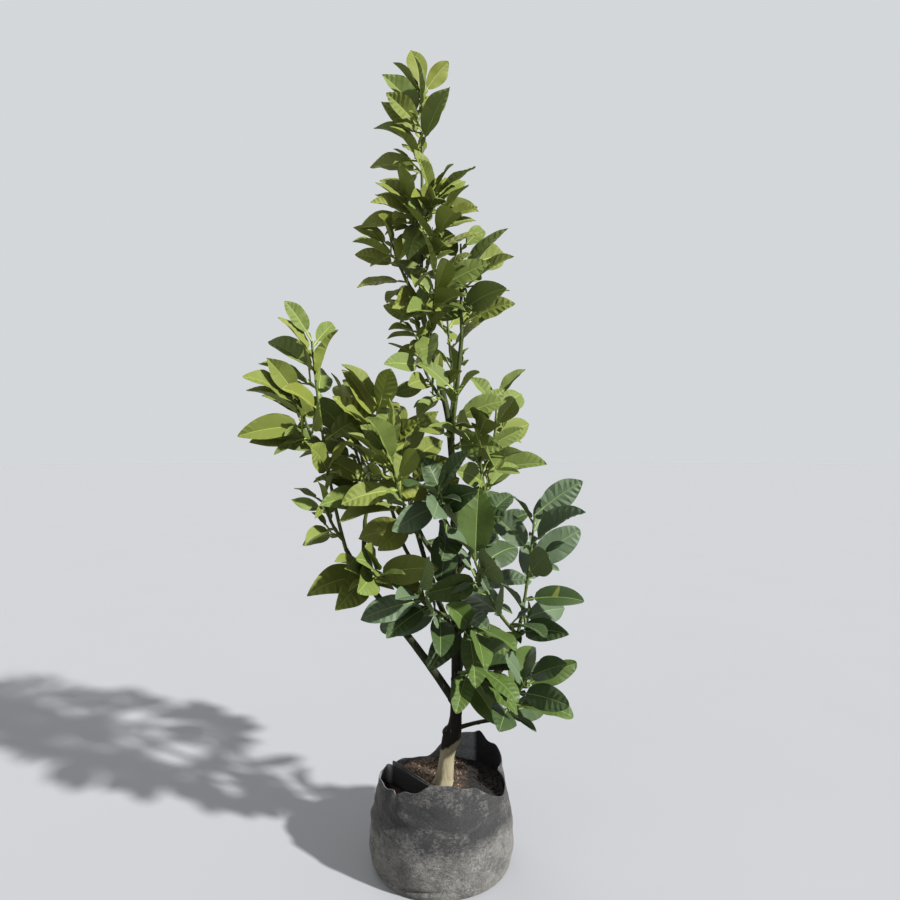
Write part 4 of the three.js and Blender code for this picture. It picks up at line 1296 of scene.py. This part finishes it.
class PomeloLeafSettings(bpy.types.PropertyGroup):
    blade_width: share_property("Blade width", 0.58, "The widest part of a blade as a share of its length")
    wing: length_property("Wing", 7.5, "Half of the width of a leaf stalk where its wings are widest")
    thickness: length_property("Thickness", 0.45, "How thick a blade is between its veins")
    vein_relief: length_property("Vein relief", 0.85, "How far a young blade swells between its side veins")
    waviness: length_property("Waviness", 1.3, "How far the margins wave up and down")
    sweep: share_property("Vein sweep", 0.17, "How far side veins run forward to the margin, of the blade")
    fold: angle_property("Fold", 20, "How far each half is folded up")
    fold_spread: angle_property("Fold spread", 9, "How much the fold differs between leaves")


class PomeloBarkSettings(bpy.types.PropertyGroup):
    relief: length_property("Relief", 0.5, "How deep the furrows of the bark are at the trunk's foot")


class PomeloBagSettings(bpy.types.PropertyGroup):
    felt_thickness: length_property("Felt thickness", 2.4, "How thick the felt wall is")
    crease: share_property("Creases", 1.0, "How strongly the felt is creased")
    felt: colour_property("Felt", "#232427", "The felt's lighter fibres")
    felt_dark: colour_property("Dark felt", "#0e0f11", "The felt's darker fibres")
    dust: colour_property("Dust", "#6e6c68", "Soil dust that is caught in the felt")


class PomeloSoilSettings(bpy.types.PropertyGroup):
    chip_count: IntProperty(name="Chips", description="How many loose bits of coir lie on top", default=900)
    chip_size: length_property("Chip size", 6, "The length of a loose bit of coir")


class PomeloStageSettings(bpy.types.PropertyGroup):
    key: strength_property("Key light", 10.5, "Strength of the light on the right")
    key_size: angle_property("Key light size", 2.5, "How wide the key light looks: wider is softer")
    back: strength_property("Back light", 1.2, "Strength of the soft light behind")
    fill: strength_property("Fill light", 0.65, "Strength of the soft light on the left")
    room: strength_property("Room light", 0.78, "Strength of the even light all round")
    floor: colour_property("Floor", "#87888a", "The floor, which the lights turn pale")


SETTINGS = {
    "pomelo_leaf": PomeloLeafSettings,
    "pomelo_bark": PomeloBarkSettings,
    "pomelo_bag": PomeloBagSettings,
    "pomelo_soil": PomeloSoilSettings,
    "pomelo_stage": PomeloStageSettings,
}


# Operators


# The floor: its rings' radii, their points, and how far under the bag it lies, in millimetres.
FLOOR = SimpleNamespace(radii=(300, 1500, 6000, 40000), sides=96, under=0.2)
# The camera is level. Its focal length and sensor are in millimetres, and its place in metres.
CAMERA = SimpleNamespace(lens=27.08, sensor=36, place=(0.0156, -1.174, 0.707))


class POMELO_OT_stage(bpy.types.Operator):
    """Make the pale floor, the soft studio light and the camera at the photograph's viewing angle"""

    bl_idname = "pomelo.stage"
    bl_label = "Stage"

    def execute(self, context):
        stage = context.scene.pomelo_stage
        angle = np.linspace(0, 2 * np.pi, FLOOR.sides, endpoint=False)
        ring = np.column_stack([np.cos(angle), np.sin(angle), 0 * angle])
        points = np.concatenate([ring * radius for radius in FLOOR.radii]) - (0, 0, FLOOR.under)
        # The rings have no poles, so their numbers start at 0, and they are turned to face up.
        quads = rings(len(FLOOR.radii), FLOOR.sides)[0][:, ::-1] - 1
        middle = np.arange(FLOOR.sides)[None]
        matt, tree, shader, place = finish("matt_floor", {"Roughness": 0.9, "Specular IOR Level": 0.0})
        cloud = node(tree, "TexNoise", {"Vector": place, "Scale": per_mm(400), "Detail": 3.0})
        duller = [channel * 0.97 for channel in stage.floor]
        tone = node(tree, "Mix", {0: cloud, 6: (*duller, 1), 7: (*stage.floor, 1)}, **IN_COLOUR)
        feed(tree, shader, {"Base Color": tone})
        floor = make_piece("floor", points, [quads, middle], [matt], None)

        world = bpy.data.worlds.new("room")
        world.use_nodes = True
        back = world.node_tree.nodes["Background"]
        back.inputs["Color"].default_value = colour("#edf0f3")
        back.inputs["Strength"].default_value = stage.room
        context.scene.world = world
        context.scene.view_settings.view_transform = "Standard"

        for name, place, size, strength in (
            ("key_light", (1.45, -0.9, 1.1), stage.key_size, stage.key),
            ("back_light", (-1.0, 1.6, 1.2), math.radians(50), stage.back),
            ("fill_light", (-1.0, -1.3, 0.6), math.radians(60), stage.fill),
        ):
            lamp = bpy.data.lights.new(name, "SUN")
            lamp.angle, lamp.energy = size, strength
            made = bpy.data.objects.new(name, lamp)
            made.location = place
            made.rotation_euler = Vector(place).to_track_quat("Z", "Y").to_euler()
            context.scene.collection.objects.link(made)

        camera = bpy.data.objects.new("camera", bpy.data.cameras.new("camera"))
        camera.data.lens, camera.data.sensor_width = CAMERA.lens, CAMERA.sensor
        camera.location = CAMERA.place
        camera.rotation_euler = (math.pi / 2, 0, 0)
        context.scene.collection.objects.link(camera)
        context.scene.camera = camera
        return {"FINISHED"}


class POMELO_OT_bag(bpy.types.Operator):
    """Make the felt grow bag: one closed skin that sags, creases and is pinched at its rim"""

    bl_idname = "pomelo.bag"
    bl_label = "Grow bag"

    def execute(self, context):
        bag = context.scene.pomelo_bag
        points, faces, outer_rows, sides = bag_skin(bag)
        quads, fans = faces
        inner = np.concatenate([np.arange(len(quads)) // sides >= outer_rows, np.arange(len(fans)) >= sides])
        make_piece(
            "felt_grow_bag", points, faces, [felt_finish(bag), inner_felt_finish()], "felt", ["grow_bag"],
            inner.astype(int), sharp=80,
        )
        return {"FINISHED"}


class POMELO_OT_soil(bpy.types.Operator):
    """Make the crumbly coir compost and the loose bits that lie on it"""

    bl_idname = "pomelo.soil"
    bl_label = "Soil"

    def execute(self, context):
        soil = context.scene.pomelo_soil
        points, faces = soil_skin(context.scene.pomelo_bag)
        coir = coir_finish("coir", "#1c1410", "#5c4838")
        make_piece("coir_compost", points, faces, [coir], "soil", ["soil"])
        points, faces = chips(soil.chip_count, soil.chip_size / MM)
        bits = coir_finish("coir_bits", "#47372b", "#a89274")
        make_piece("coir_chips", points, faces, [bits], "soil", sharp=30)
        return {"FINISHED"}


class POMELO_OT_trunk(bpy.types.Operator):
    """Make the trunk with its root flare, its graft and the relief of its bark"""

    bl_idname = "pomelo.trunk"
    bl_label = "Trunk"

    def execute(self, context):
        bark = context.scene.pomelo_bark
        points, faces = tube(
            TRUNK, lambda share, axis: trunk_radius(axis[:, 2]), sides=44, rows=300,
            relief=trunk_relief(bark),
        )
        surface = bark_finish("trunk_bark", low=0.35, high=1.0, grafted=True)
        make_piece("trunk_bark", points, faces, [surface], "bark", ["trunk"])
        return {"FINISHED"}


class POMELO_OT_boughs(bpy.types.Operator):
    """Make each bough as one tapering limb with a collar and the relief of its bark"""

    bl_idname = "pomelo.boughs"
    bl_label = "Boughs"

    def execute(self, context):
        bark = context.scene.pomelo_bark
        surface = bark_finish("bough_bark", low=0.2, high=0.7, grafted=False)
        for number, limb in enumerate(plant().limbs.values()):
            points, faces = tube(
                limb.curve, lambda share, axis, l=limb: mix(l.root, l.tip, share), sides=20, rows=70,
                relief=limb_relief(number, bark),
            )
            make_piece(f"{limb.name}_bark", points, faces, [surface], "bark", [limb.name])
        return {"FINISHED"}


def shoot_parts(shoot):
    """A green shoot with a cushion under each leaf, its side twigs, and a bud in each leaf's axil."""
    shares = np.array(shoot.shares)

    def relief(angle, run, axis):
        total = 0.12 * np.cos(3 * angle + run / 60)
        for place in shoot.curve(shares):
            near = np.linalg.norm(axis - place, axis=1)[:, None]
            total = total + 0.55 * bell(near / 3)
        return total

    def stem(share, axis):
        return mix(SHOOT.root, SHOOT.tip, share)

    def bud_radius(share, axis):
        return BUD.radius * np.sqrt(np.clip(1.02 - share**2, 0, 1))

    parts = [tube(shoot.curve, stem, sides=10, rows=64, relief=relief)]
    for twig in shoot.twigs:
        parts.append(tube(twig.curve, lambda share, axis: mix(*TWIG.radii, share), sides=6, rows=7))
    for pose, place in zip(shoot.leaves, shoot.shares):
        base = shoot.curve(place)
        up = tangent_of(shoot.curve, place)
        start = base + pose.ahead * mix(SHOOT.root, SHOOT.tip, place) * 0.7 + up * 1.5
        middle = start + pose.ahead * 1.2 + up * 1.6
        bud = through([start, middle, start + pose.ahead * 1.6 + up * BUD.height])
        parts.append(tube(bud, bud_radius, sides=5, rows=4))
    return parts


class POMELO_OT_shoots(bpy.types.Operator):
    """Make the green shoots and side twigs with their buds, joined by part of the crown"""

    bl_idname = "pomelo.shoots"
    bl_label = "Shoots"

    def execute(self, context):
        green = shoot_finish()
        for spray, masses in SPRAYS.items():
            parts = [part for shoot in plant().shoots if shoot.mass in masses for part in shoot_parts(shoot)]
            points, faces = joined(parts)
            nodes = [f"foliage_{mass}" for mass in masses]
            make_piece(f"{spray}_shoots", points, faces, [green], "foliage", nodes)
        return {"FINISHED"}


def pick_tones(chance, age, count):
    """The tone of each leaf of a shoot, out of those for its age: the shoot's common tone by a chance, and
    otherwise any of them."""
    names = AGES[age]
    common = names[chance.integers(len(names))]
    chosen = [
        common if chance.random() < COMMON_TONE else names[chance.integers(len(names))] for _ in range(count)
    ]
    return [TONE_NAMES.index(name) for name in chosen]


class POMELO_OT_leaves(bpy.types.Operator):
    """Make the winged leaves, folded, veined and waved, joined by part of the crown"""

    bl_idname = "pomelo.leaves"
    bl_label = "Leaves"

    def execute(self, context):
        leaf = context.scene.pomelo_leaf
        for number, (spray, masses) in enumerate(SPRAYS.items()):
            chance = np.random.default_rng(300 + number)
            big, big_tones, small, small_tones = [], [], [], []
            for shoot in plant().shoots:
                if shoot.mass not in masses:
                    continue
                big += shoot.leaves
                big_tones += pick_tones(chance, masses[shoot.mass], len(shoot.leaves))
                young = [pose for twig in shoot.twigs for pose in twig.leaves]
                small += young
                small_tones += pick_tones(chance, masses[shoot.mass], len(young))
            skins, finishes = [], []
            for grid, poses, tones in ((BIG_LEAF, big, big_tones), (YOUNG_LEAF, small, small_tones)):
                if poses:
                    tones = np.array(tones)
                    skins.append(many(leaf_surfaces(poses, grid, chance, leaf, tones), grid.faces))
                    blotched = None
                    if spray == "right_lower" and grid is BIG_LEAF:
                        middles = np.array([p.start + p.ahead * 55 - BLOTCHED_PLACE for p in poses])
                        blotched = np.linalg.norm(middles, axis=1).argmin()
                    finishes.append(leaf_finishes(grid, tones, blotched))
            points, faces = joined(skins)
            nodes = [f"foliage_{mass}" for mass in masses]
            make_piece(
                f"{spray}_leaves", points, faces, foliage_finishes(), "foliage", nodes,
                np.concatenate(finishes), sharp=17,
            )
        return {"FINISHED"}


OPERATORS = [
    POMELO_OT_stage, POMELO_OT_bag, POMELO_OT_soil, POMELO_OT_trunk, POMELO_OT_boughs,
    POMELO_OT_shoots, POMELO_OT_leaves,
]


class POMELO_PT_parts(bpy.types.Panel):
    """The parts of the potted tree"""

    bl_idname = "POMELO_PT_parts"
    bl_label = "Potted Pomelo"
    bl_space_type = "VIEW_3D"
    bl_region_type = "UI"
    bl_category = "Pomelo"

    def draw(self, context):
        for operator in OPERATORS:
            self.layout.operator(operator.bl_idname)
        for name, settings in SETTINGS.items():
            box = self.layout.box()
            for row in settings.__annotations__:
                box.prop(getattr(context.scene, name), row)


def register():
    for settings in SETTINGS.values():
        bpy.utils.register_class(settings)
    for operator in OPERATORS:
        bpy.utils.register_class(operator)
    bpy.utils.register_class(POMELO_PT_parts)
    for name, settings in SETTINGS.items():
        setattr(bpy.types.Scene, name, PointerProperty(type=settings))


def unregister():
    for name in SETTINGS:
        delattr(bpy.types.Scene, name)
    bpy.utils.unregister_class(POMELO_PT_parts)
    for operator in reversed(OPERATORS):
        bpy.utils.unregister_class(operator)
    for settings in reversed(SETTINGS.values()):
        bpy.utils.unregister_class(settings)


def main():
    register()
    for operator in OPERATORS:
        group, name = operator.bl_idname.split(".")
        getattr(getattr(bpy.ops, group), name)()


if __name__ == "__main__":
    main()
